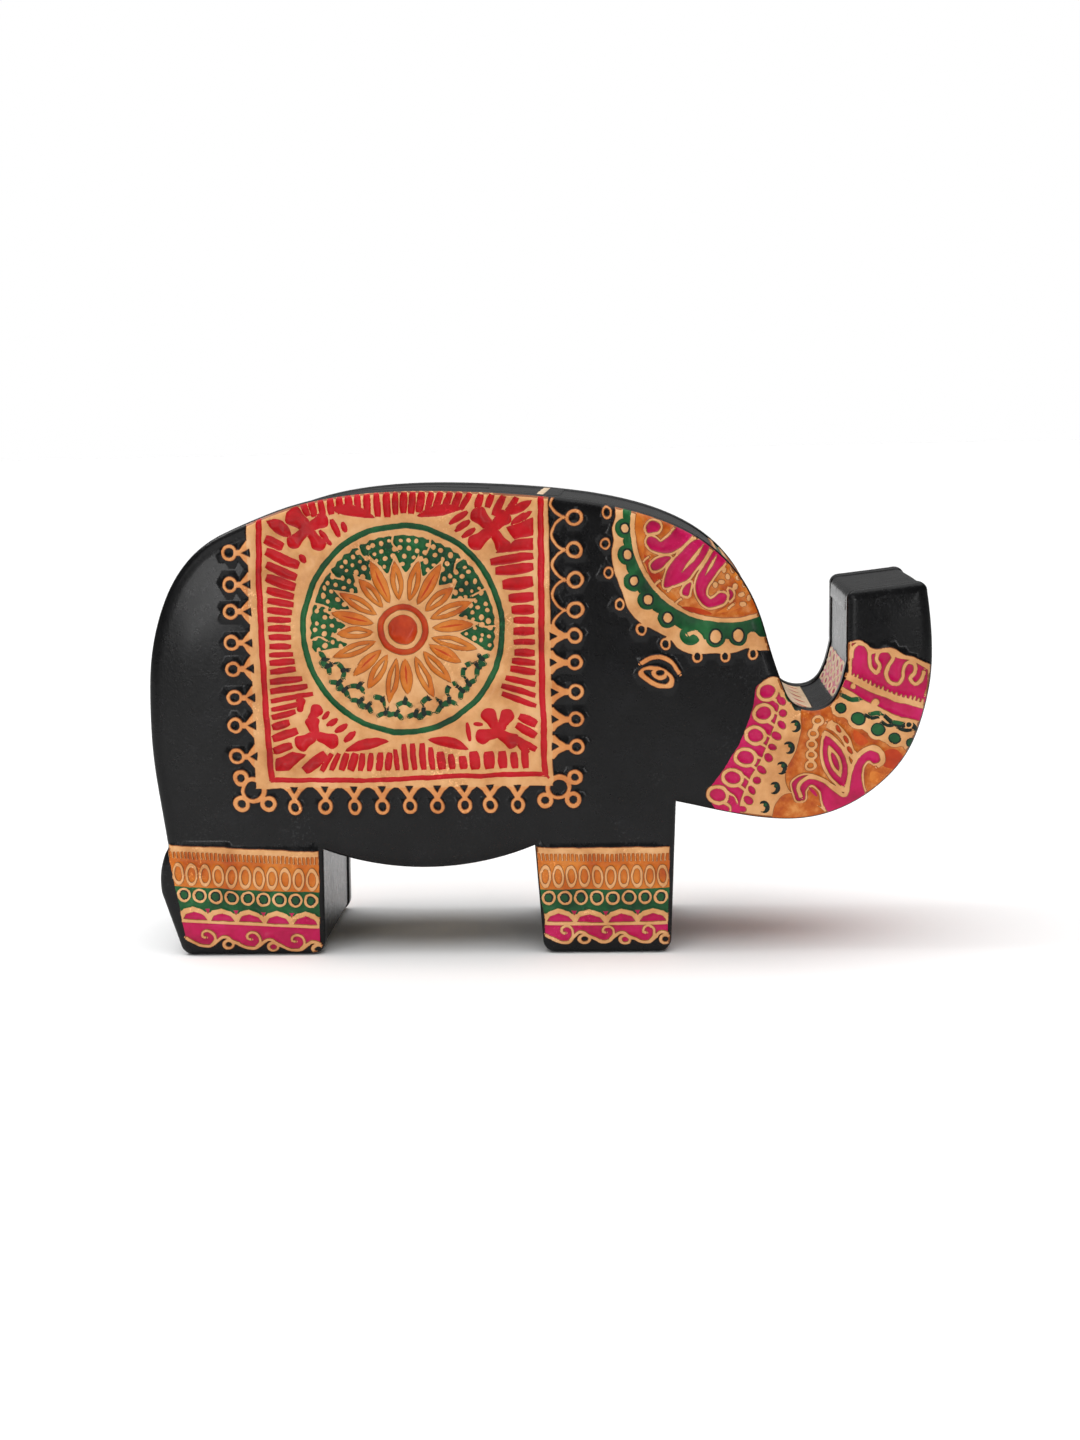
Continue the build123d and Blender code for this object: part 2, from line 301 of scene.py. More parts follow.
def cloth_field(d):
    d.fill([(CLOTH_LEFT, 130), (CLOTH_LEFT, CLOTH_LOW), (CLOTH_RIGHT, CLOTH_LOW), (CLOTH_RIGHT, 130)], TAN)
    d.stroke([(-66.4, 108.6), (-66.8, 95), (-66.6, 78), (-66.2, 60), (-65.6, 44.4)], 1.25, RED)
    d.stroke([(-65.8, 44.4), (-45, 44.2), (-20, 44.8), (1.7, 45.2)], 0.95, RED)
    d.stroke([(1.6, 45.0), (1.3, 70), (1.5, 90), (1.7, 112.4)], 1.25, RED)


def rays(d):
    """Red bars that point from the cloth's red line towards the sun."""
    left = [(103.4, -60.6, 101.4, 2.4), (100.4, -57.0, 96.8, 2.4), (97.2, -57.6, 94.0, 2.0),
            (94.2, -58.0, 91.8, 2.3), (91.2, -58.4, 89.6, 1.9), (88.6, -58.6, 87.6, 1.6),
            (86.2, -59.0, 85.6, 1.6), (83.9, -59.3, 83.7, 1.3), (81.7, -59.5, 81.7, 1.5),
            (79.5, -59.6, 79.5, 1.3), (77.3, -59.6, 77.3, 1.3), (75.2, -59.1, 75.4, 1.1),
            (73.2, -58.8, 73.7, 1.5), (71.0, -58.6, 71.9, 1.3), (68.7, -57.2, 69.6, 1.5),
            (66.4, -55.9, 67.6, 1.5), (64.0, -54.6, 65.6, 1.1), (61.8, -57.6, 63.2, 1.1),
            (59.8, -59.0, 61.4, 1.3), (57.4, -60.6, 58.8, 1.8), (54.6, -58.6, 56.6, 2.0),
            (51.7, -60.2, 52.9, 1.8)]
    for z, x_in, z_in, width in left:
        d.dash((-65.0, z), (x_in, z_in), width, RED)
    d.fill([(-64.3, 49.7), (-60.2, 51.2), (-56.9, 50.7), (-61.2, 46.9), (-64.4, 46.7)], RED)
    right = [(98.4, -10.6, 97.0, 2.0), (95.6, -9.4, 94.7, 2.3), (92.2, -7.7, 91.4, 2.9),
             (88.6, -6.3, 88.2, 2.3), (85.5, -5.7, 85.3, 2.3), (82.9, -5.3, 82.8, 1.5),
             (80.3, -5.3, 80.2, 2.0), (77.6, -5.3, 77.6, 1.3), (74.9, -5.3, 75.1, 1.8),
             (72.4, -6.0, 73.0, 1.6), (70.0, -6.5, 71.2, 1.6), (67.2, -7.7, 68.9, 1.4),
             (64.6, -8.7, 67.0, 1.3), (61.9, -8.6, 65.2, 1.2), (57.4, -4.4, 59.6, 1.9),
             (54.6, -5.2, 57.4, 1.9), (51.2, -5.6, 54.2, 1.5)]
    for z, x_in, z_in, width in right:
        d.dash((-0.3, z), (x_in, z_in), width, RED)
    d.fill([(-0.3, 107.4), (-0.3, 103.4), (-4.6, 102.5), (-6.4, 105.2)], RED)
    d.fill([(-0.3, 102.6), (-0.3, 99.9), (-9.4, 99.2), (-4.4, 102.2)], RED)
    d.leaf((-0.4, 109.0), (-5.4, 105.9), 1.6, RED)
    d.leaf((-0.6, 111.6), (-6.0, 108.2), 2.0, RED)
    d.leaf((-64.6, 107.8), (-58.4, 103.9), 3.0, RED, bend=0.4)
    top = [(-55.9, -54.4, 3.2), (-53.8, -52.9, 3.6), (-51.6, -50.6, 3.8), (-49.2, -48.6, 3.6),
           (-46.9, -46.4, 3.7), (-44.6, -44.2, 3.8), (-42.4, -42.1, 4.2), (-40.2, -39.9, 4.8),
           (-37.8, -37.5, 5.2), (-35.2, -35.2, 5.4), (-33.0, -33.1, 5.0), (-31.0, -31.2, 4.8),
           (-28.9, -29.4, 5.0), (-26.7, -27.6, 4.6), (-24.4, -25.6, 4.2), (-22.2, -23.7, 4.0),
           (-19.9, -21.4, 3.8), (-17.6, -19.2, 3.6), (-14.9, -17.4, 3.4), (-12.4, -13.4, 2.9),
           (-9.9, -11.0, 2.6), (-7.0, -9.4, 4.4), (-4.0, -7.0, 4.9)]
    for k, (x, x_in, deep) in enumerate(top):
        edge = TOP_Z - 0.9 - 0.0026 * (x + 30) ** 2
        d.dash((x, edge + 0.4), (x_in, edge - deep), (1.5, 1.7, 1.35, 1.6)[k % 4], RED)
    low = [(-57.6, -52.0, 2.6), (-53.2, -50.6, 1.3), (-50.8, -48.8, 1.1), (-48.4, -46.9, 1.5),
           (-46.2, -44.7, 1.9), (-43.6, -43.0, 1.3), (-41.5, -40.9, 1.3), (-39.1, -38.6, 1.6),
           (-36.9, -36.3, 1.5)]
    for x, x_in, width in low:
        d.dash((x, 46.5), (x_in, 50.8), width, RED)
    for x, width, height in ((-34.9, 1.1, 5.2), (-32.7, 1.3, 6.6), (-30.6, 1.2, 6.6), (-28.4, 1.4, 6.6),
                             (-26.3, 1.2, 5.6), (-24.0, 2.0, 4.4), (-21.4, 1.5, 3.8), (-18.7, 1.8, 3.4),
                             (-15.9, 2.4, 4.6), (-12.3, 2.7, 4.4), (-8.9, 2.1, 4.4), (-6.0, 1.7, 4.2),
                             (-3.4, 1.6, 5.0)):
        d.dash((x + 0.4, 46.5), (x, 46.5 + height), width, RED)


def corner_flower(d, x, z, turns):
    """A red flower of four lobes, with small leaves round it."""
    for angle, reach, width in turns:
        d.petal((x, z), angle, reach, width, RED)
    d.disc(x, z, 1.0, RED)


def corners(d):
    corner_flower(d, -54.4, 105.9, [(140, 6.2, 4.4), (28, 5.4, 3.6), (-58, 6.2, 3.4), (222, 6.4, 3.2)])
    corner_flower(d, -10.0, 104.8, [(132, 6.4, 4.0), (44, 5.6, 3.8), (-58, 6.2, 3.6), (218, 6.8, 3.6)])
    corner_flower(d, -54.2, 55.4, [(104, 4.6, 3.2), (-22, 5.6, 3.6), (208, 5.6, 3.8)])
    corner_flower(d, -9.6, 55.6, [(118, 6.6, 3.4), (62, 6.4, 3.2), (-34, 5.4, 3.8), (196, 5.6, 3.4)])
    d.petal((-58.0, 61.4), 80, 3.4, 2.2, RED)
    d.petal((-55.6, 59.0), 58, 4.4, 2.8, RED)
    small = [(-56.6, 99.4, -55.4, 97.6, 1.4), (-51.4, 105.4, -49.6, 102.2, 1.2),
             (-50.4, 103.4, -49.0, 101.8, 0.9), (-48.6, 108.0, -46.9, 103.6, 1.5),
             (-45.9, 107.2, -45.2, 104.8, 1.2), (-20.2, 106.4, -15.8, 109.0, 1.4),
             (-18.9, 104.6, -15.4, 106.9, 1.3), (-17.2, 103.0, -14.0, 105.0, 1.2),
             (-52.6, 59.6, -50.9, 61.2, 1.0), (-51.4, 57.8, -48.8, 59.4, 1.4),
             (-49.4, 56.2, -46.5, 58.0, 1.4), (-47.3, 53.9, -44.6, 56.2, 1.4),
             (-17.2, 57.9, -16.6, 53.6, 1.0), (-15.4, 57.6, -13.4, 57.4, 0.9),
             (-5.0, 53.2, -2.4, 50.6, 1.6)]
    for x0, z0, x1, z1, width in small:
        d.leaf((x0, z0), (x1, z1), width, RED, blunt=0.35)
    d.leaf((-49.2, 110.4), (-38.2, 108.0), 2.5, RED, bend=0.7)
    d.leaf((-28.0, 108.2), (-16.8, 110.0), 2.5, RED, bend=0.6)
    d.leaf((-47.2, 51.4), (-36.4, 53.8), 2.5, RED, bend=0.5)
    d.leaf((-26.8, 54.0), (-17.0, 51.6), 2.5, RED, bend=0.5)


MARKS = ([[(-1.6, -0.5), (-0.4, 0.1), (0.6, 0.1), (1.6, -0.5)], [(0.1, 0.1), (0.5, 1.3)]],
         [[(-1.2, 0.9), (-1.0, -0.5), (0.3, -0.8), (1.3, -0.1)]],
         [[(-1.4, 0.2), (1.3, -0.3)], [(-0.8, 0.2), (-0.7, -1.2)]],
         [[(-1.8, -0.5), (-0.8, 0.5), (0.3, -0.3), (1.5, 0.6)]],
         [[(-0.9, 0.3), (0.8, -0.2)]])


def mark(d, place, turn, strokes):
    """One broken mark of the sun's green ground: short strokes, turned about their place."""
    c, s = math.cos(math.radians(turn)), math.sin(math.radians(turn))
    for number, stroke in enumerate(strokes):
        line = [(place[0] + u * c - v * s, place[1] + u * s + v * c) for u, v in stroke]
        d.stroke(line, 0.95 - 0.15 * number, INK if number else GREEN)
    d.disc(*line[0], 0.62, INK)


def honeycomb(d, rng):
    """Green ground with tan beads round the upper half of the sun, and broken marks round the lower."""
    x0, z0 = SUN

    def at(angle, radius):
        a = math.radians(angle)
        return np.array([x0 + radius * math.cos(a), z0 + radius * 1.02 * math.sin(a)])

    outer = [at(angle, 22.2 + 0.25 * math.sin(angle)) for angle in range(-14, 196, 3)]
    d.fill(outer + [at(angle, 14.0) for angle in range(195, -15, -3)], GREEN)
    for row, radius in enumerate((21.1, 19.2, 17.3, 15.6)):
        count = int(2 * math.pi * radius / 2.05)
        for k in range(count):
            angle = (k + 0.5 * (row % 2)) * 360 / count + rng.uniform(-1.6, 1.6)
            if -14 < (angle + 90) % 360 - 90 < 194:
                size = rng.uniform(0.58, 0.80)
                place = at(angle, radius + rng.uniform(-0.25, 0.25))
                d.disc(*place, size, TAN, size * rng.uniform(0.85, 1.2))
    for angle in range(2, 190, 23):
        spread = rng.uniform(-2.0, 2.0)
        d.stroke([at(angle, 22.6), at(angle + spread, 20.6), at(angle - spread, 18.6)], 0.75, TAN)
    for k in range(23):
        outer_row = k % 3 != 2
        angle = 199 + 6.4 * k + rng.uniform(-1.2, 1.2)
        mark(d, at(angle, 20.6 if outer_row else 17.6), angle + 90 + rng.uniform(-25, 25),
             MARKS[k * 5 % len(MARKS)])


def sun(d, rng):
    x0, z0 = SUN
    d.disc(x0, z0, 24.75, GREEN, 25.6)
    d.disc(x0, z0, 23.6, TAN, 24.45)
    honeycomb(d, rng)
    petals = 20
    star = []
    for k in range(petals):
        a = 2 * math.pi * (k + 0.25) / petals
        reach = 19.2 + 1.3 * math.sin(k * 2.4)
        star.append((x0 + reach * math.cos(a), z0 + reach * math.sin(a)))
        a += math.pi / petals
        star.append((x0 + 14.0 * math.cos(a), z0 + 14.0 * math.sin(a)))
    d.fill(star, TAN)
    for k in range(petals):
        a = 2 * math.pi * (k + 0.25) / petals + rng.uniform(-0.03, 0.03)
        reach = 17.2 + 1.3 * math.sin(k * 2.4)
        c, s = math.cos(a), math.sin(a)
        d.leaf((x0 + 7.2 * c, z0 + 7.2 * s), (x0 + reach * c, z0 + reach * s), 2.9, ORANGE)
        slit, colour = (0.5, AMBER) if k % 3 == 0 else (0.95, TAN)
        d.leaf((x0 + 8.6 * c, z0 + 8.6 * s), (x0 + (reach - 2.4) * c, z0 + (reach - 2.4) * s), slit, colour)
    d.disc(x0, z0, 7.1, TAN)
    d.disc(x0, z0, 6.15, AMBER)
    d.disc(x0, z0, 4.85, TAN)
    d.disc(x0, z0, 3.45, AMBER)


def eye(d):
    d.stroke([(25.3, 71.9), (27.4, 73.2), (29.8, 73.4), (32.4, 72.2), (34.5, 69.4)], 1.2, HONEY)
    d.blob([(24.7, 69.7), (26.4, 71.1), (29.2, 71.2), (31.6, 70.0), (33.3, 68.0), (32.9, 66.2), (30.4, 65.9),
            (27.4, 66.8)], HONEY)
    d.blob([(26.1, 69.8), (28.4, 70.2), (30.6, 69.5), (32.0, 68.0), (31.6, 67.2), (29.6, 67.3),
            (27.6, 68.2)], BLACK)
    d.disc(29.6, 69.3, 1.9, HONEY, 1.35, -15)
    d.disc(29.8, 69.6, 0.95, BLACK, 0.62)


MEDAL = (46.3, 104.7)


def medallion(d):
    x0, z0 = MEDAL
    rings = [(17.5, 108.3), (17.0, 100.9), (17.9, 93.9), (20.3, 86.4), (25.4, 80.3), (31.3, 76.5),
             (38.9, 73.5), (45.6, 73.3), (52.2, 73.9)]
    for x, z in rings:
        d.disc(x, z, 1.35, HONEY, 1.6)
    for x, z in rings[4:]:
        toward = math.atan2(z0 - z, x0 - x)
        d.stroke([(x, z), (x + 2.4 * math.cos(toward), z + 2.4 * math.sin(toward))], 1.5, TAN, smooth=False)
    d.blob([(19.2, 112.0), (19.6, 107.4), (18.5, 104.3), (19.0, 101.6), (18.4, 98.6), (18.8, 95.8),
            (19.9, 92.2), (21.3, 88.2), (22.3, 85.2), (24.4, 82.6), (27.6, 80.4), (32.2, 77.7),
            (34.4, 75.4), (38.4, 73.9), (43.0, 74.1), (46.2, 73.8), (50.2, 75.1), (56.6, 76.2), (64, 84),
            (60, 120), (20, 125)], TAN)
    for x, z in rings:
        d.disc(x, z, 0.72, BLACK, 0.9)
    d.fill([(21.6, 112), (21.6, 106.9), (21.5, 101.0), (22.2, 94.8), (24.6, 90.2), (28.4, 84.9),
            (33.9, 81.0), (40.3, 77.6), (45.5, 77.6), (51.3, 78.3), (56, 77.6), (64, 90), (60, 120),
            (20, 125)], GREEN)
    dots = [(21.8, 104.5), (22.4, 98.3), (23.9, 91.9), (27.1, 87.4), (31.8, 82.9), (37.3, 78.6),
            (43.2, 78.2), (48.7, 78.4)]
    for x, z in dots:
        d.disc(x, z, 2.35, GREEN)
    for k, (x, z) in enumerate(dots):
        r = (1.05, 1.1, 1.05, 1.15, 1.2, 0.0, 1.45, 1.45)[k]
        if r:
            d.disc(x, z, r + 0.3, INK, (r + 0.3) * 1.1)
            d.disc(x, z, r, TAN, r * 1.12)
    d.stroke([(40.4, 75.4), (39.6, 77.9), (38.2, 79.2), (36.8, 78.7)], 1.3, TAN)
    d.blob([(50.6, 76.4), (51.4, 78.9), (52.6, 79.2), (54.0, 78.0), (58, 77.6), (58, 75.5)], TAN)
    d.disc(x0, z0, 23.35, TAN)
    d.disc(x0, z0, 22.0, MOTTLE)
    gold = [((24.9, 108.5), (26.0, 98.4), 2.2, ORANGE), ((26.4, 98.4), (29.6, 90.2), 1.6, AMBER),
            ((29.6, 91.0), (35.0, 86.2), 1.2, ORANGE), ((35.0, 85.6), (42.6, 83.6), 1.3, AMBER),
            ((43.4, 83.8), (52.4, 86.8), 1.3, ORANGE), ((47.2, 94.6), (50.6, 88.8), 1.6, ORANGE),
            ((31.6, 108.0), (35.0, 106.4), 1.5, ORANGE), ((27.8, 95.0), (30.6, 92.0), 1.4, AMBER)]
    for start, end, width, colour in gold:
        d.leaf(start, end, width, colour)
    for x, z in ((26.8, 97.0), (29.4, 91.4), (32.6, 89.6), (34.4, 86.8), (47.0, 85.4)):
        d.stroke([(x - 0.7, z - 0.6), (x, z + 0.2), (x + 0.8, z + 0.7)], 0.8, TAN)
    for k, (x, z) in enumerate(((43.4, 90.6), (44.9, 91.3), (46.4, 92.5), (47.6, 94.1), (48.9, 92.2),
                                (50.3, 90.4), (48.0, 90.2), (49.6, 88.2), (51.4, 87.4), (47.3, 87.6),
                                (50.0, 86.0), (45.6, 94.0))):
        d.disc(x, z, (0.75, 0.95, 0.65)[k % 3], TAN, (0.95, 0.7, 0.8)[k % 3])
    curls = [
        [(27.0, 104.4), (27.9, 106.0), (29.3, 105.9), (30.3, 104.9),
         (29.8, 103.9), (28.6, 103.6), (27.3, 103.4)],
        [(27.0, 101.5), (27.8, 102.5), (29.1, 102.1), (30.3, 101.2), (31.6, 101.9),
         (33.6, 103.8), (35.6, 105.8), (39.4, 104.0), (38.2, 102.6), (35.8, 100.4),
         (33.2, 98.9), (30.2, 98.6), (27.9, 99.6)],
        [(31.2, 90.3), (31.6, 93.4), (33.0, 96.2), (35.5, 98.8), (38.4, 101.2), (40.4, 101.5), (42.0, 100.2),
         (41.0, 98.0), (38.8, 94.9), (36.8, 92.4), (34.2, 90.9)],
        [(44.0, 99.6), (46.4, 97.2), (44.2, 94.2), (42.5, 91.9), (41.3, 89.9), (41.1, 88.1), (42.1, 87.1),
         (43.4, 87.6), (44.6, 88.5), (45.9, 88.2), (45.6, 86.6), (43.5, 85.5), (41.2, 85.5), (39.3, 87.4),
         (38.6, 90.0), (39.0, 92.2), (40.5, 94.8), (42.0, 97.2)],
        [(28.0, 95.4), (29.5, 97.0), (32.6, 97.5), (31.5, 96.0), (30.0, 94.7), (28.5, 94.4)],
        [(35.5, 88.5), (36.0, 90.4), (37.3, 91.4), (37.1, 90.0), (36.5, 88.2)],
        [(46.7, 89.6), (47.5, 88.8), (47.3, 87.6), (46.6, 86.9), (46.7, 88.2)],
    ]
    for loop in curls:
        smooth = curve(loop, closed=True)
        d.area(moved_in(smooth, -0.75), TAN)
    for loop in curls:
        d.blob(loop, MAGENTA)
    d.leaf((35.2, 93.6), (40.8, 100.6), 1.1, TAN)
    d.leaf((40.9, 92.8), (43.9, 98.0), 0.9, TAN)


def feather(d):
    """The trunk's first band: a row of loops on magenta, and a row of magenta marks beside it."""
    d.blob([(53.4, 66.2), (57.0, 66.6), (58.6, 62.4), (57.6, 57.6), (55.8, 52.4), (53.6, 47.6), (50.8, 42.6),
            (49.0, 38.0), (48.6, 33.4), (45.5, 33.6), (42.4, 36.6), (41.6, 39.8), (45.3, 46.2), (48.5, 51.4),
            (51.0, 57.0), (52.2, 61.6)], MAGENTA)
    loops = [(55.6, 64.6, 30), (54.7, 59.3, 0), (52.8, 53.9, -10), (50.3, 48.6, -15), (47.1, 43.6, -20),
             (43.6, 39.4, -25)]
    for x, z, _ in loops:
        d.stroke([(x + 1.4, z - 1.9), (x + 3.0, z - 3.4), (x + 2.7, z - 5.2)], 0.95, TAN, taper=0.3)
        d.stroke([(x + 2.4, z + 0.4), (x + 4.0, z - 0.6), (x + 4.8, z - 2.2)], 0.8, TAN, taper=0.3)
    for x, z, turn in loops:
        d.disc(x, z, 2.9, TAN, 2.55, turn)
        d.disc(x, z, 1.85, MAGENTA, 1.5, turn)
    marks = [(58.9, 62.2), (59.4, 59.3), (59.1, 56.5), (57.9, 53.8), (56.8, 51.1), (55.9, 48.4),
             (54.2, 45.6), (53.2, 43.0), (51.8, 40.5), (50.9, 38.0), (49.6, 35.8)]
    for k, (x, z) in enumerate(marks):
        d.disc(x, z, (1.25, 0.95, 1.15)[k % 3], MAGENTA, (0.75, 0.85)[k % 2], (-40, -20, -55)[k % 3])


def trunk(d, rng):
    """The trunk's bands, from the feather round to the squiggle below its black tip."""
    d.blob([(53.8, 65.0), (54.8, 67.4), (57.0, 68.2), (59.6, 67.0), (63, 63.6), (68, 61.8), (72.4, 64.2),
            (74.9, 68.6), (75.5, 76.4), (77.6, 76.9), (80.6, 74.8), (85.0, 75.0), (90.0, 72.4), (94.6, 70.6),
            (100, 66), (98, 48), (85, 34), (65, 28), (46, 30), (43.4, 36.0), (43.4, 40.0),
            (46.4, 46.2), (49.6, 51.4), (52.0, 57.0), (53.2, 61.6)], TAN)
    d.blob([(60.4, 41.2), (60.0, 44.4), (62.4, 50.0), (63.8, 55.4), (64.2, 60.6), (70.6, 60.6),
            (74.2, 57.8), (80.0, 54.0), (85.8, 50.8), (91.4, 50.4), (90.6, 44.0), (85.0, 39.4),
            (80.0, 36.5), (70, 36), (64, 38)], MOTTLE)
    d.blob([(57.0, 31.5), (57.4, 36.6), (59.8, 39.4), (66.0, 37.6), (69.8, 33.4), (66, 31)], MOTTLE)
    feather(d)
    for x, z in ((62.3, 56.2), (60.7, 50.8), (59.0, 45.8), (57.3, 41.0), (54.7, 36.4)):
        d.disc(x, z, 1.25, INK, 1.45)
        d.disc(x - 0.6, z - 0.15, 1.0, TAN, 1.15)
        d.disc(x + 0.3, z + 0.5, 0.4, GREEN)
    d.stroke([(61.9, 61.4), (62.5, 60.4), (63.8, 60.2)], 0.6, INK)
    d.leaf((60.0, 64.6), (61.2, 61.8), 1.1, GREEN)
    beads = [(67.8, 57.4), (66.6, 54.2), (66.2, 51.6), (66.1, 49.0), (66.0, 46.4)]
    d.stroke(beads, 1.5, TAN)
    for x, z in beads:
        d.disc(x, z, 1.55, TAN, 1.4)
    for x, z in beads:
        d.disc(x, z, 0.7, ORANGE, 0.55)
    d.stroke([(70.4, 56.6), (72.8, 54.8), (74.8, 52.2), (75.8, 49.6), (77.0, 48.4)], 2.2, TAN)
    for x, z in ((72.6, 55.2), (74.5, 52.7), (75.5, 50.2)):
        d.leaf((x - 0.5, z + 0.8), (x + 0.5, z - 0.8), 0.8, AMBER, blunt=0.4)
    d.blob([(76.4, 54.8), (78.4, 53.8), (79.9, 51.9), (78.2, 51.2), (76.8, 52.2)], AMBER)
    d.blob([(83.2, 49.0), (86.4, 50.0), (88.6, 47.6), (86.2, 45.2), (83.4, 46.4)], AMBER)
    d.blob([(80.6, 44.6), (83.8, 43.6), (83.0, 41.4), (80.6, 42.2)], ORANGE)
    body = [(62.0, 39.6), (61.6, 42.2), (64.4, 44.0), (68.0, 43.2), (71.2, 41.2), (74.2, 39.6), (75.6, 43.0),
            (76.6, 46.4), (78.4, 48.7), (80.6, 49.9), (82.2, 49.2), (82.5, 47.4), (81.2, 46.9), (80.2, 47.7),
            (78.9, 46.8), (78.3, 44.0), (78.6, 41.0), (79.6, 37.8),
            (75.0, 34.4), (71.0, 34.2), (69.0, 37.0), (68.2, 40.2), (66.2, 41.6), (64.6, 40.2), (64.4, 38.0),
            (62.8, 37.8)]
    d.area(moved_in(curve(body, closed=True), -0.7), TAN)
    d.blob(body, MAGENTA)
    d.leaf((69.3, 55.2), (74.5, 39.8), 7.2, TAN)
    d.leaf((69.7, 53.8), (74.1, 41.0), 5.2, MAGENTA)
    d.leaf((70.4, 51.6), (73.3, 43.2), 3.1, TAN)
    d.leaf((71.0, 49.8), (72.7, 45.0), 1.3, MAGENTA)
    d.stroke([(63.6, 38.6), (63.0, 41.2), (65.2, 43.4), (68.8, 42.8), (71.8, 40.4), (74.2, 38.9),
              (75.1, 41.8), (75.9, 45.6), (77.4, 48.8), (79.6, 50.4), (81.8, 50.7), (83.2, 49.2),
              (83.3, 47.0), (82.1, 46.0)], 1.15, TAN)
    d.leaf((65.6, 41.0), (67.6, 38.6), 0.9, MAGENTA)
    for k, (x, z) in enumerate(((73.2, 60.3), (77.5, 57.7), (82.2, 55.0), (86.2, 52.8), (90.2, 51.6))):
        turn, r = -25 - 5 * k, (1.35, 1.75, 1.65, 1.45, 1.25)[k]
        d.disc(x, z, r + 1.0, TAN)
        d.disc(x, z, r, INK, 0.9 * r, turn)
        d.disc(x, z, r - 0.2, GREEN, 0.9 * r - 0.2, turn)
    for x, z in ((80.6, 57.4), (84.6, 55.6), (88.6, 54.2)):
        d.stroke([(x - 1.6, z + 1.3), (x, z + 0.5), (x + 1.5, z + 0.6)], 0.6, INK)
    d.stroke([(73.4, 63.6), (75.4, 62.4), (77.6, 62.5)], 0.9, GREEN)
    d.stroke([(80.4, 58.8), (82.6, 59.0)], 0.9, GREEN)
    d.stroke([(83.8, 58.4), (86.0, 56.6), (88.2, 55.8), (89.4, 56.4), (91.6, 54.6)], 0.8, INK)
    d.stroke([(86.0, 56.9), (88.0, 56.3)], 0.8, GREEN)
    d.ring(89.6, 56.0, 1.1, 0.5, TAN, INK)
    d.fill([(73.6, 65.6), (74.4, 67.2), (80.0, 64.4), (86.0, 61.8), (93.6, 59.6), (92.8, 56.8), (88, 58.0),
            (82.0, 60.8), (77.4, 63.4)], MAGENTA)
    d.fill([(76.0, 76.0), (77.8, 76.1), (79.6, 74.6), (80.6, 73.2), (82.4, 73.8), (85.2, 73.9),
            (86.6, 72.4), (90.4, 71.6), (94.2, 69.2), (96.0, 66.0), (94.2, 60.8), (86.0, 63.6),
            (80.0, 66.2), (76.0, 68.4)], MAGENTA)
    comb = [(74.4, 68.4), (77.2, 66.9), (80.2, 65.4), (83.2, 64.0), (86.4, 62.8), (89.8, 61.7), (93.8, 60.6)]
    d.stroke(comb, 1.1, TAN)
    line = curve(comb, step=1.25)
    for x, z in line[1:-1]:
        lift = rng.uniform(1.1, 1.7)
        d.leaf((x - 0.1, z), (x + 0.3, z + lift), 0.8, TAN, blunt=0.3)
    d.disc(76.3, 65.6, 0.8, TAN)
    d.disc(81.6, 61.7, 1.05, TAN)
    meander = [(75.9, 72.4), (76.2, 74.6), (77.2, 75.8), (78.8, 75.6), (79.9, 74.2), (80.2, 72.0),
               (80.8, 69.6), (81.9, 68.8), (82.6, 70.2), (81.8, 72.4), (82.6, 74.2), (84.6, 74.2),
               (85.7, 72.8), (84.8, 70.8), (84.1, 68.6), (85.0, 66.5), (87.0, 66.1), (88.1, 67.6),
               (88.3, 69.8), (89.3, 71.3), (90.8, 70.9), (91.0, 68.8), (89.9, 67.4), (91.0, 65.9),
               (92.4, 67.0), (93.2, 69.2)]
    d.stroke(meander, 1.1, TAN)
    d.stroke([(85.2, 74.0), (87.4, 72.8), (90.4, 72.2), (93.0, 70.8), (95.4, 69.0)], 1.0, TAN)
    d.stroke([(94.4, 69.6), (94.4, 66.0), (93.6, 63.0)], 0.8, TAN)


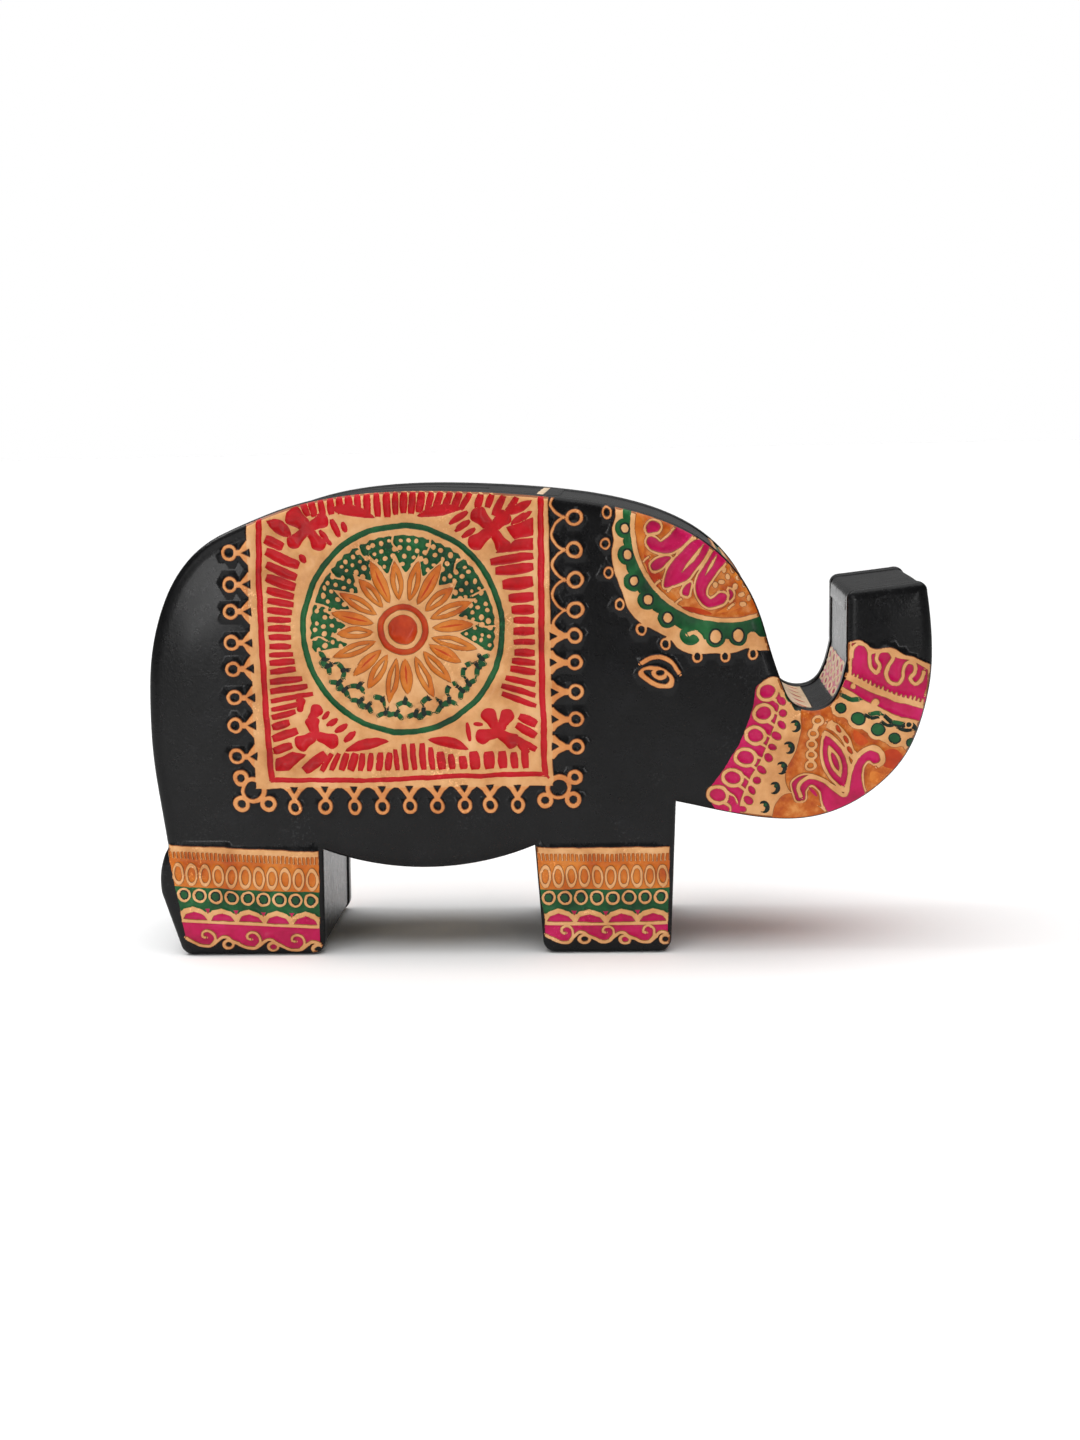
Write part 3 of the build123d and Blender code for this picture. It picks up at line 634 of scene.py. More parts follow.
def leg_band(d, left_top, right_top, left_low, right_low, ovals, rings, lenses, curls):
    """The painted band of one leg. Its corners are its tan ground's."""
    def at(across, down):
        """A place in the band: across from 0 to 1, and down in millimetres from the top."""
        top = (1 - across) * np.array(left_top) + across * np.array(right_top)
        low = (1 - across) * np.array(left_low) + across * np.array(right_low)
        return top + (low - top) * down / (top[1] - low[1])

    width = right_top[0] - left_top[0]
    height = left_top[1] - left_low[1]
    d.fill([left_top, right_top, at(1.0, 20.6), at(0.0, 20.6)], TAN)
    d.fill([at(0.0, 3.4), at(1.0, 3.6), at(1.0, 11.2), at(0.0, 11.2)], ORANGE)
    ticks = int(width / 1.05)
    for k in range(ticks):
        a = (k + 0.5) / ticks
        d.dash(at(a, 1.6), at(a, 3.6), 0.6, ORANGE)
    for k in range(ovals):
        x, z = at((k + 0.5) / ovals, 7.3)
        half = width / ovals / 2
        d.disc(x, z, half * 0.93, TAN, 3.0)
        d.disc(x, z, half * 0.48, ORANGE, 1.8)
    d.fill([at(0.0, 10.6), at(1.0, 10.4), at(1.0, 16.6), at(0.0, 16.6)], GREEN)
    pitch = width / rings
    for k in range(rings):
        x, z = at((k + 0.5) / rings, 12.6)
        d.disc(x, z, pitch * 0.46, TAN, 1.95)
    for k in range(rings):
        x, z = at((k + 0.5) / rings, 12.6)
        d.disc(x, z, pitch * 0.26, INK, 1.15)
        d.disc(x - 0.1, z - 0.1, pitch * 0.21, GREEN, 0.95)
    crest = []
    for k in range(lenses):
        for a, down in ((0.0, 17.2), (0.15, 16.0), (0.5, 15.2), (0.85, 16.0)):
            crest.append(at((k + a) / lenses, down))
    crest += [at(1.0, 17.2), at(1.0, 20.4), at(0.0, 20.4)]
    d.fill(crest, TAN)
    for k in range(lenses):
        points = [at((k + a) / lenses, down)
                  for a, down in ((0.08, 18.7), (0.2, 17.5), (0.5, 16.7), (0.8, 17.5), (0.92, 18.7))]
        d.area(straight(points), MAGENTA)
        if k:
            notch = [at((k - 0.09) / lenses, 15.9), at((k + 0.09) / lenses, 15.9), at(k / lenses, 17.0)]
            d.fill(notch, MAGENTA)

    def scroll(k, u, v):
        """A place in the scroll's unit k: u along it from 0 to 13, and v above its troughs."""
        return at((k + u / 13) / curls, height - v)

    crests = ((0.0, 2.0), (2.0, 1.2), (4.4, 0.3), (6.9, 0.3), (9.2, 1.7), (11.0, 2.7), (12.4, 2.5))
    line = [scroll(k, u, v) for k in range(curls) for u, v in crests] + [at(1.0, height - 2.0)]
    path = curve(line)
    d.area([at(0.0, 19.7), at(1.0, 19.7), *path[::-1]], MAGENTA)
    for k in range(curls):
        d.disc(*scroll(k, 12.2, 0.9), 1.65, TAN, 1.45)
        hook = ((7.3, 0.6), (8.7, 2.0), (8.4, 3.6), (6.8, 4.3), (5.3, 3.7), (5.2, 2.7), (6.2, 2.5))
        d.stroke([scroll(k, u, v) for u, v in hook], 0.85, TAN)
    d.stroke(line, 0.95, TAN)
    for k in range(curls):
        d.disc(*scroll(k, 12.3, 0.9), 0.75, MAGENTA if k % 2 else BLACK, 0.6)


def fork_notches(d):
    """Black notches in the cloth's border, where the rings' forked necks start."""
    border = -69.7
    for z in LEFT_RINGS:
        d.fill([(border - 1.15, z), (border + 0.7, z + 1.05), (border + 0.75, z - 1.05)], BLACK)
    for z in RIGHT_RINGS[LOOPED:]:
        d.fill([(5.0, z), (3.4, z + 1.0), (3.4, z - 1.0)], BLACK)
    for x in LOW_RINGS:
        d.fill([(x, CLOTH_LOW - 1.3), (x + 0.95, CLOTH_LOW + 0.35), (x - 0.95, CLOTH_LOW + 0.35)], BLACK)


def side_design():
    """Everything embossed and painted on one side of the elephant."""
    d = Design()
    rng = np.random.default_rng(7)
    cloth_fringe(d)
    cloth_field(d)
    fork_notches(d)
    rays(d)
    corners(d)
    sun(d, rng)
    medallion(d)
    eye(d)
    trunk(d, rng)
    leg_band(d, (-92.9, 28.3), (-54.8, 26.2), (-88.6, 2.6), (-55.4, 2.6), 11, 9, 5, 3)
    leg_band(d, (-1.3, 26.7), (31.9, 26.6), (1.2, 2.6), (31.0, 2.6), 10, 8, 4, 3)
    return d


# ---------------------------------------------------------------- sheets

def sheet_triangles(border, design, guides, spacing, holes=()):
    """Cuts the sheet into triangles along its border, its holes, the guides and every drawn line.

    A guide is a pair: its points, and whether it closes."""
    points, edges = [], []

    def add(loop, closed=True):
        start = len(points)
        points.extend(map(tuple, loop))
        count = len(loop)
        edges.extend((start + i, start + (i + 1) % count) for i in range(count if closed else count - 1))

    add(border)
    for hole in holes:
        add(hole)
    for loop, closed in guides:
        add(loop, closed)
    tree = near_tree(border)
    for loop, colour in design.shapes:
        keep_side = 1 if colour in RAISED else -1
        for ring in (loop, moved_in(loop, keep_side * SLOPE)):
            within = inside(border, ring)
            near = np.array([ok or tree.find((x, z, 0))[2] < PAST_BORDER
                             for (x, z), ok in zip(ring, within)])
            if near.all():
                add(ring)
                continue
            start = len(points)
            index = {}
            for i in np.nonzero(near)[0]:
                index[i] = start + len(index)
                points.append(tuple(ring[i]))
            for i in index:
                j = (i + 1) % len(ring)
                if j in index:
                    edges.append((index[i], index[j]))
    drawn = near_tree(points)
    low, high = border.min(0), border.max(0)
    grid = []
    rows = int((high[1] - low[1]) / (spacing * ROW_SPACING)) + 1
    for row in range(rows):
        z = low[1] + row * spacing * ROW_SPACING
        for x in np.arange(low[0] + spacing * 0.5 * (row % 2), high[0], spacing):
            if drawn.find((x, z, 0))[2] > CLEAR * spacing:
                grid.append((x, z))
    grid = np.array(grid)
    points.extend(map(tuple, grid[inside(border, grid)]))
    flat = [Vector((float(x), float(z))) for x, z in points]
    verts, _, faces, *_ = delaunay_2d_cdt(flat, edges, [], 0, 1e-4, False)
    verts = np.array([(v.x, v.y) for v in verts])
    faces = np.array([f for f in faces if len(f) == 3])
    centres = verts[faces].mean(1)
    kept = inside(border, centres)
    for hole in holes:
        kept &= ~inside(hole, centres)
    return verts, faces[kept]


def paint(verts, faces, design):
    """Each triangle's colour."""
    centres = verts[faces].mean(1)
    colours = np.full(len(faces), BLACK)
    for loop, colour in design.shapes:
        colours[inside(loop, centres)] = colour
    return colours


def vertex_levels(count, faces, colours):
    """How far each point is raised, from 0 to 1: the lowest of the triangles round it."""
    level = np.array([RAISED.get(c, 0.0) for c in range(FLANK_SHADE + 1)])[colours]
    lowest = np.full(count, 9.0)
    for corner in range(3):
        np.minimum.at(lowest, faces[:, corner], level)
    return np.where(lowest > 5, 0.0, lowest)


def with_flanks(verts, faces, colours, levels):
    """The colours, with the flanks of the raised lines painted.

    Beside red, green and pink the flank takes the ground's own dye. Beside the rest it is a brown of painted
    shade, which stands for the shade that darkens the outline of the relief."""
    sunk = ~np.isin(colours, list(RAISED))
    ground = np.full(len(levels), -1)
    for corner in range(3):
        np.maximum.at(ground, faces[sunk, corner], colours[sunk])
    beside = ground[faces].max(1)
    height = levels[faces]
    longest = np.linalg.norm(verts[faces] - verts[np.roll(faces, 1, 1)], axis=2).max(1)
    flank = (height.min(1) < 0.01) & (height.max(1) > 0.5) & (colours != CREAM) & (longest < LONGEST_FLANK)
    own = np.isin(beside, (RED, GREEN, INK, PINK))
    # flanks beside the other grounds get the brown of painted shade on the relief
    return np.where(flank, np.where(own, beside, FLANK_SHADE), colours)


def open_edges(faces):
    """The sheet's open edges, each as a pair of points with the sheet at its left."""
    seen = set()
    for a, b, c in faces.tolist():
        seen.update(((a, b), (b, c), (c, a)))
    return sorted((a, b) for a, b in seen if (b, a) not in seen)


def compacted(verts, faces):
    """The points that the triangles use, and the triangles counted among them."""
    used = np.unique(faces)
    place = np.full(len(verts), -1)
    place[used] = np.arange(len(used))
    return verts[used], place[faces]


def cad_outline(node, plane_y):
    """The outermost loop of a CAD node's face in the plane y = plane_y, in millimetres of x and z."""
    mesh = frame["nodes"][node].data
    key = [tuple(round(c / MM, 3) for c in v.co) for v in mesh.vertices]
    edges = {}
    for face in mesh.polygons:
        corners = [key[i] for i in face.vertices]
        if any(abs(c[1] - plane_y) > 0.002 for c in corners):
            continue
        flat = [(c[0], c[2]) for c in corners]
        for a, b in zip(flat, flat[1:] + flat[:1]):
            edges[(a, b)] = edges.get((a, b), 0) + 1
    follow = {a: b for a, b in edges if (b, a) not in edges}
    loops = []
    while follow:
        start, here = follow.popitem()
        chain = [start]
        while here != start and here in follow:
            chain.append(here)
            here = follow.pop(here)
        loops.append(np.array(chain))
    loop = max(loops, key=lambda chain: abs(signed_area(chain)))
    return loop if signed_area(loop) > 0 else loop[::-1]


def smoothed(loop, step):
    """The loop with its facets rounded off, but for sharp corners.

    Long edges are straight on the object too, and are divided so that they stay so."""
    divided = []
    for a, b in zip(loop, np.roll(loop, -1, 0)):
        length = np.linalg.norm(b - a)
        count = int(length / 1.5) if length > LONGEST_FACET else 1
        divided += [a + (b - a) * k / count for k in range(count)]
    loop = np.array(divided)
    n = len(loop)
    way, onward = loop - np.roll(loop, 1, 0), np.roll(loop, -1, 0) - loop
    turns = np.arctan2(way[:, 0] * onward[:, 1] - way[:, 1] * onward[:, 0], (way * onward).sum(1))
    sharp = [int(i) for i in np.nonzero(np.abs(turns) > math.radians(SHARP_CORNER))[0]]
    out = []
    for a, b in zip(sharp, sharp[1:] + [sharp[0] + n]):
        out += list(curve([loop[i % n] for i in range(a, b + 1)], step=step))[:-1]
    return np.array(out)


def make_object(name, coords, faces, colours, body):
    """A mesh object with one material slot for each colour it uses."""
    mesh = bpy.data.meshes.new(name)
    mesh.from_pydata([tuple(c) for c in coords], [], [tuple(int(i) for i in f) for f in faces])
    used = sorted(set(int(c) for c in colours))
    for c in used:
        mesh.materials.append(LEATHERS[c])
    mesh.polygons.foreach_set("material_index", np.array([used.index(int(c)) for c in colours], np.int32))
    mesh.polygons.foreach_set("use_smooth", np.ones(len(mesh.polygons), bool))
    mesh.validate()
    mesh.update()
    piece = bpy.data.objects.new(name, mesh)
    bpy.context.scene.collection.objects.link(piece)
    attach(piece, body)
    return piece


# ---------------------------------------------------------------- materials

def shader(name):
    material = bpy.data.materials.new(name)
    material.use_nodes = True
    tree = material.node_tree
    return material, tree, tree.nodes["Principled BSDF"]


def link(tree, a, out, b, into):
    tree.links.new(a.outputs[out], b.inputs[into])


def noise_node(tree, coords, scale, detail=3.0, rough=0.55):
    node = tree.nodes.new("ShaderNodeTexNoise")
    node.inputs["Scale"].default_value = scale
    node.inputs["Detail"].default_value = detail
    node.inputs["Roughness"].default_value = rough
    link(tree, coords, "Object", node, "Vector")
    return node


def bump_node(tree, source, out, strength, distance):
    """Small relief in a surface. distance is its depth in metres."""
    node = tree.nodes.new("ShaderNodeBump")
    node.inputs["Strength"].default_value = strength
    node.inputs["Distance"].default_value = distance
    link(tree, source, out, node, "Height")
    return node


def roughness_between(tree, source, base, low, high):
    """Roughness that follows a noise, from low to high."""
    spread = tree.nodes.new("ShaderNodeMapRange")
    spread.inputs["To Min"].default_value, spread.inputs["To Max"].default_value = low, high
    link(tree, source, "Fac", spread, "Value")
    link(tree, spread, "Result", base, "Roughness")


def ramp(tree, source, stops):
    node = tree.nodes.new("ShaderNodeValToRGB")
    while len(node.color_ramp.elements) < len(stops):
        node.color_ramp.elements.new(0.5)
    for element, (place, colour) in zip(node.color_ramp.elements, stops):
        element.position = place
        element.color = (*colour, 1)
    tree.links.new(source, node.inputs["Fac"])
    return node


def leather(name, dark, mid, light, patch=140.0, grain=0.25, rough=(0.30, 0.46), coat=0.06, specular=0.22):
    """Lacquered leather. dark, mid and light are the colours that its dye clouds between."""
    material, tree, base = shader(name)
    coords = tree.nodes.new("ShaderNodeTexCoord")
    cloud = noise_node(tree, coords, patch, 5.0, 0.6)
    colour = ramp(tree, cloud.outputs["Fac"], [(0.30, dark), (0.50, mid), (0.72, light)])
    where = ramp(tree, noise_node(tree, coords, 75.0, 2.0, 0.5).outputs["Fac"],
                 [(0.56, (0, 0, 0)), (0.70, (1, 1, 1))])
    marks = ramp(tree, noise_node(tree, coords, 1300.0, 2.0, 0.8).outputs["Fac"],
                 [(0.55, (0, 0, 0)), (0.66, (1, 1, 1))])
    scuffs = tree.nodes.new("ShaderNodeMath")
    scuffs.operation = "MULTIPLY"
    link(tree, where, "Color", scuffs, 0)
    link(tree, marks, "Color", scuffs, 1)
    worn = tree.nodes.new("ShaderNodeMix")
    worn.data_type = "RGBA"
    worn.inputs[7].default_value = (*[min(1.0, 1.25 * c + 0.012) for c in light], 1)
    link(tree, scuffs, 0, worn, 0)
    link(tree, colour, "Color", worn, 6)
    link(tree, worn, 2, base, "Base Color")
    roughness_between(tree, noise_node(tree, coords, 420.0, 4.0, 0.6), base, *rough)
    cells = tree.nodes.new("ShaderNodeTexVoronoi")
    cells.inputs["Scale"].default_value = 1500.0
    cells.feature = "DISTANCE_TO_EDGE"
    link(tree, coords, "Object", cells, "Vector")
    pebble = noise_node(tree, coords, 1100.0, 2.0, 0.5)
    creases = bump_node(tree, cells, "Distance", grain, 0.00008)
    swell = bump_node(tree, pebble, "Fac", grain, 0.00012)
    link(tree, creases, "Normal", swell, "Normal")
    link(tree, swell, "Normal", base, "Normal")
    base.inputs["Specular IOR Level"].default_value = specular
    base.inputs["Coat Weight"].default_value = coat
    base.inputs["Coat Roughness"].default_value = 0.14
    return material


def srgb(r, g, b):
    """A colour named as it is seen, from 0 to 255, as the shader wants it."""
    return tuple(((c / 255 + 0.055) / 1.055) ** 2.4 if c > 10 else c / 255 / 12.92 for c in (r, g, b))


LEATHERS = [
    leather("leather_black", srgb(7, 7, 8), srgb(10, 10, 11), srgb(16, 16, 18),
            coat=0.12, rough=(0.20, 0.38), grain=0.5, specular=0.14),
    leather("leather_tan", srgb(190, 128, 74), srgb(214, 156, 100), srgb(230, 178, 126)),
    leather("leather_red", srgb(150, 0, 8), srgb(186, 3, 16), srgb(200, 16, 36)),
    leather("leather_green", srgb(6, 44, 22), srgb(12, 76, 36), srgb(34, 104, 54)),
    leather("leather_orange", srgb(176, 74, 12), srgb(202, 106, 26), srgb(218, 136, 54)),
    leather("leather_amber", srgb(158, 38, 2), srgb(184, 54, 3), srgb(200, 84, 18)),
    leather("leather_magenta", srgb(150, 0, 56), srgb(184, 0, 74), srgb(200, 20, 96)),
    leather("leather_mottled", srgb(160, 58, 6), srgb(188, 92, 20), srgb(214, 140, 70), patch=330.0),
    leather("leather_ink", srgb(8, 20, 15), srgb(10, 30, 21), srgb(14, 46, 30)),
    leather("leather_cream", srgb(214, 186, 148), srgb(228, 200, 166), srgb(238, 216, 188)),
    leather("leather_pink", srgb(206, 92, 120), srgb(222, 128, 146), srgb(234, 166, 172)),
    leather("leather_honey", srgb(190, 114, 58), srgb(212, 138, 78), srgb(226, 160, 100)),
    # painted shade: the brown laid on the flanks of raised lines
    leather("leather_flank_shade", srgb(110, 56, 22), srgb(140, 78, 36), srgb(166, 100, 52)),
]


# ---------------------------------------------------------------- the sides

outline = cad_outline("right_side_leather", -RIM_Y)


def near_tree(points):
    """A search tree over flat points."""
    tree = kdtree.KDTree(len(points))
    for i, (x, z) in enumerate(points):
        tree.insert((x, z, 0), i)
    tree.balance()
    return tree


def side_edge(flat):
    """How far each flat point lies inside the outline, and the way inwards from there."""
    line = smoothed(outline, 0.1)
    tree = near_tree(line)
    way = np.roll(line, -2, 0) - np.roll(line, 2, 0)
    way /= np.linalg.norm(way, axis=1, keepdims=True)
    found = [tree.find((x, z, 0)) for x, z in flat]
    deep = np.array([f[2] for f in found])
    deep[deep < 0.06] = 0
    near = [f[1] for f in found]
    return deep, np.stack([-way[near, 1], way[near, 0]], 1)


def side_height(flat, deep, levels):
    """The half width of the box at each point of a side."""
    t = np.clip(1 - deep / ROLL_IN, 0, 1)
    roll = ROLL_DEEP * (1 - np.sqrt(1 - t ** 2))
    swell = CROWN * (1 - np.exp(-deep / 10)) + BELLY * (1 - np.exp(-deep / 30))
    waves = np.array([noise.noise(Vector((x * 0.045, z * 0.045, 1.3))) for x, z in flat]) * 0.22
    waves *= np.clip(deep / 8, 0, 1)
    return FACE_Y - GROUND_IN - roll + swell + waves + RELIEF * levels * np.clip(deep / 1.2, 0.25, 1)


def build_sides():
    """Both sides' embossed leather: a face, and a wall that goes down to the rim."""
    border = smoothed(outline, 0.6)
    guides = [(moved_in(border, depth), True) for depth in (0.1, EDGE_BAND, 0.8, 1.5, 2.4, 3.4)]
    design = side_design()
    verts, faces = sheet_triangles(border, design, guides, 1.7)
    verts, faces = compacted(verts, faces)
    colours = paint(verts, faces, design)
    deep, inward = side_edge(verts)
    colours[deep[faces].max(1) <= EDGE_BAND + 0.03] = BLACK
    levels = vertex_levels(len(verts), faces, colours)
    out = side_height(verts, deep, levels)
    coords = [(x, -y, z) for (x, z), y in zip(verts, out)]
    # The triangles run anticlockwise in x and z, which faces them to -Y
    skin = [tuple(f) for f in faces]
    edges = open_edges(faces)
    ends = sorted({corner for edge in edges for corner in edge})
    upper = {corner: corner for corner in ends}
    for depth, y in ((0.0, 23.0), (0.0, 22.0), (0.0, 21.2), (0.04, 20.5), (0.22, 20.12), (0.6, RIM_Y)):
        lower = {corner: len(coords) + k for k, corner in enumerate(ends)}
        coords += [(x, -y, z) for x, z in verts[ends] + inward[ends] * depth]
        skin += [(upper[a], lower[a], lower[b], upper[b]) for a, b in edges]
        upper = lower
    painted = list(with_flanks(verts, faces, colours, levels)) + [BLACK] * (len(skin) - len(colours))
    for name, side in (("right", 1), ("left", -1)):
        placed = np.array(coords) * np.array([1, side, 1]) * MM
        turned = skin if side == 1 else [f[::-1] for f in skin]
        piece = make_object(f"{name}_embossed_leather", placed, turned, painted, "box")
        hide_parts(f"{name}_side_leather")


# ---------------------------------------------------------------- the rim

RIM_SET_IN = 0.4         # how far the rim lies inside the sides' outline
RIM_RELIEF = 0.22        # height of a raised line on the rim
LAP, LAP_LIFT = 3.5, 0.45   # length of a lap, and how far it stands proud
SLOT_START, SLOT_END, SLOT_HALF = (-12.0, 114.0), (-52.0, 112.6), 2.5
LOCK_PLACE, LOCK_HOLE_R = (-28.0, 22.0), 13.2
BACK_SEAM_Z = 112.6      # height of the lap on the back
SOLE_TOP_Z = 0.4         # where the rim's leather starts above the soles


class RimLine:
    """The rim's outline, measured along its length. It runs anticlockwise in x and z."""

    def __init__(self):
        self.points = moved_in(smoothed(outline, 0.45), RIM_SET_IN)
        closed = np.vstack([self.points, self.points[:1]])
        self.run = np.concatenate([[0], np.cumsum(np.linalg.norm(np.diff(closed, axis=0), axis=1))])
        self.closed = closed
        self.length = self.run[-1]
        way = np.roll(self.points, -2, 0) - np.roll(self.points, 2, 0)
        way /= np.linalg.norm(way, axis=1, keepdims=True)
        self.out = np.stack([way[:, 1], -way[:, 0]], 1)
        self.out = np.vstack([self.out, self.out[:1]])

    def at(self, place):
        """The distance along the rim of the point nearest to a place."""
        gap = np.linalg.norm(self.points - np.array(place), axis=1)
        return self.run[int(np.argmin(gap))]

    def spot(self, s):
        """The points and outward directions at distances s."""
        s = np.mod(s, self.length)
        point = np.stack([np.interp(s, self.run, self.closed[:, k]) for k in (0, 1)], -1)
        out = np.stack([np.interp(s, self.run, self.out[:, k]) for k in (0, 1)], -1)
        return point, out / np.linalg.norm(out, axis=-1, keepdims=True)

    def bends(self, start, end):
        """Distances between start and end where the rim turns enough to need a line of points."""
        found, gathered = [], 0.0
        for i in range(len(self.points)):
            a = self.points[i] - self.points[i - 1]
            b = self.points[(i + 1) % len(self.points)] - self.points[i]
            gathered += abs(math.atan2(a[0] * b[1] - a[1] * b[0], a @ b))
            if gathered > math.radians(5):
                found.append(self.run[i])
                gathered = 0.0
        return [s + turn for s in found for turn in (0, self.length) if start + 0.3 < s + turn < end - 0.3]


def rim_strip(rim, name, node, start, end, draw=None, holes=(), lap_start=0.0, lap_end=0.0):
    """A length of the rim's leather from one place to another. It laps over its neighbours."""
    s0, s1 = rim.at(start), rim.at(end)
    if s1 < s0:
        s1 += rim.length
    s0 -= lap_start
    s1 += lap_end
    design = Design(wobble=0.14)
    if draw:
        draw(design, lambda x, z: along(rim, s0, x, z))
    border = straight([(s0, -RIM_Y), (s1, -RIM_Y), (s1, RIM_Y), (s0, RIM_Y)], step=0.9)
    cut = [hole(lambda x, z: along(rim, s0, x, z)) for hole in holes]
    guides = [(straight([(s, -RIM_Y + 0.2), (s, RIM_Y - 0.2)], False, 1.4), False)
              for s in rim.bends(s0, s1)]
    for y in (RIM_Y - 0.3, RIM_Y - 0.8, RIM_Y - 1.6):
        guides += [(straight([(s0 + 0.1, side * y), (s1 - 0.1, side * y)], False, 0.9), False)
                   for side in (-1, 1)]
    verts, faces = sheet_triangles(border, design, guides, 1.6, cut)
    verts, faces = compacted(verts, faces)
    colours = paint(verts, faces, design)
    levels = vertex_levels(len(verts), faces, colours)
    s, y = verts[:, 0], verts[:, 1]
    to_side = RIM_Y - np.abs(y)
    height = RIM_RELIEF * levels * np.clip(to_side, 0, 1)
    height += 0.10 * (1 - (y / RIM_Y) ** 2) - 0.35 * np.exp(-to_side / 0.45)
    height += 0.05 * np.array([noise.noise(Vector((a * 0.16, b * 0.10, 5.1))) for a, b in verts])
    for lap, from_end in ((lap_start, s - s0), (lap_end, s1 - s)):
        if lap:
            height += LAP_LIFT * (1 - smooth_step(from_end / (2.2 * LAP)))
    point, out = rim.spot(s)
    placed = point + out * height[:, None]
    coords = [(x, b, z) for (x, z), b in zip(placed, y)]
    skin = [tuple(f)[::-1] for f in faces]
    painted = list(with_flanks(verts, faces, colours, levels))
    edges = open_edges(faces)
    ends = sorted({corner for edge in edges for corner in edge})
    lower = {corner: len(coords) + k for k, corner in enumerate(ends)}
    sunk = point[ends] - out[ends] * 0.75
    coords += [(x, b, z) for (x, z), b in zip(sunk, y[ends])]
    for a, b in edges:
        skin.append((a, b, lower[b], lower[a]))
        painted.append(BLACK)
    piece = make_object(name, np.array(coords) * MM, skin, painted, "box")
    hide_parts(node)


def along(rim, s0, x, z):
    """A place on the outline as a distance that continues from s0."""
    s = rim.at((x, z))
    return s if s >= s0 - 1 else s + rim.length


def smooth_step(t):
    t = np.clip(t, 0, 1)
    return t * t * (3 - 2 * t)


def cross_band(d, s_from, s_to, colour, waves=0, depth=0.7):
    """A band across the rim. waves is how many scallops its far edge has."""
    far = []
    for y in np.linspace(-RIM_Y - 1, RIM_Y + 1, 81):
        swing = depth * abs(math.sin(math.pi * waves * (y + RIM_Y) / (2 * RIM_Y))) if waves else 0
        far.append((s_to + swing, y))
    d.area([(s_from, -RIM_Y - 1), *far, (s_from, RIM_Y + 1)], colour)


def lobes(d, s, colour, core, count, rs, ry, shift=0.0):
    """A row of rings across the rim."""
    pitch = 2 * RIM_Y / count
    for k in range(count):
        y = -RIM_Y + (k + 0.5) * pitch + shift
        d.disc(s, y, rs, colour, ry)
        d.disc(s, y, rs * 0.52, core, ry * 0.52)


def head_bands(d, at):
    """Bands across the crook of the trunk and the forehead."""
    inner = at(73.9, 70.6)
    low = at(70.8, 61.8)
    cross_band(d, inner, low, PINK, 4, -1.2)
    lobes(d, inner + 1.6, CREAM, MAGENTA, 4, 1.8, 4.6)
    lobes(d, inner + 4.7, CREAM, PINK, 5, 1.5, 3.6, 2.0)
    lobes(d, inner + 7.6, CREAM, MAGENTA, 4, 1.3, 4.2)
    cross_band(d, low - 0.8, low, BLACK)
    crook, brow = at(66.6, 60.2), at(60.0, 65.4)
    cross_band(d, crook, brow, CREAM)
    for k in range(5):
        y = -RIM_Y + 4 + 8 * k
        d.leaf((crook + 0.8, y - 3.0), (crook + 4.2, y + 2.4), 1.9, AMBER)
        d.leaf((crook + 2.2, y + 1.0), (crook + 4.6, y + 2.6), 0.9, MAGENTA)
    cross_band(d, brow - 1.5, brow, GREEN)
    start = at(56.3, 76.0)
    bands = [((55.6, 78.4), TAN), ((54.7, 81.0), PINK), ((54.0, 83.0), TAN), ((53.4, 84.8), MAGENTA),
             ((52.8, 86.0), TAN), ((51.4, 88.6), BLACK), ((50.2, 90.4), TAN), ((46.6, 95.8), MOTTLE),
             ((45.8, 96.6), TAN), ((44.2, 98.2), GREEN), ((43.0, 99.2), TAN)]
    previous = start
    for place, colour in bands:
        here = at(*place)
        cross_band(d, previous, here, colour)
        previous = here
    lobes(d, (start + at(55.6, 78.4)) / 2 - 1.2, TAN, BLACK, 8, 1.7, 1.7)
    lobes(d, at(55.1, 79.8), TAN, MAGENTA, 10, 1.3, 1.6)
    lobes(d, at(52.1, 87.3), TAN, GREEN, 12, 1.1, 1.2)
    for row, place in enumerate(((49.2, 91.9), (47.6, 94.2))):
        lobes(d, at(*place), TAN, AMBER, 9, 1.2, 1.5, 1.1 * row)


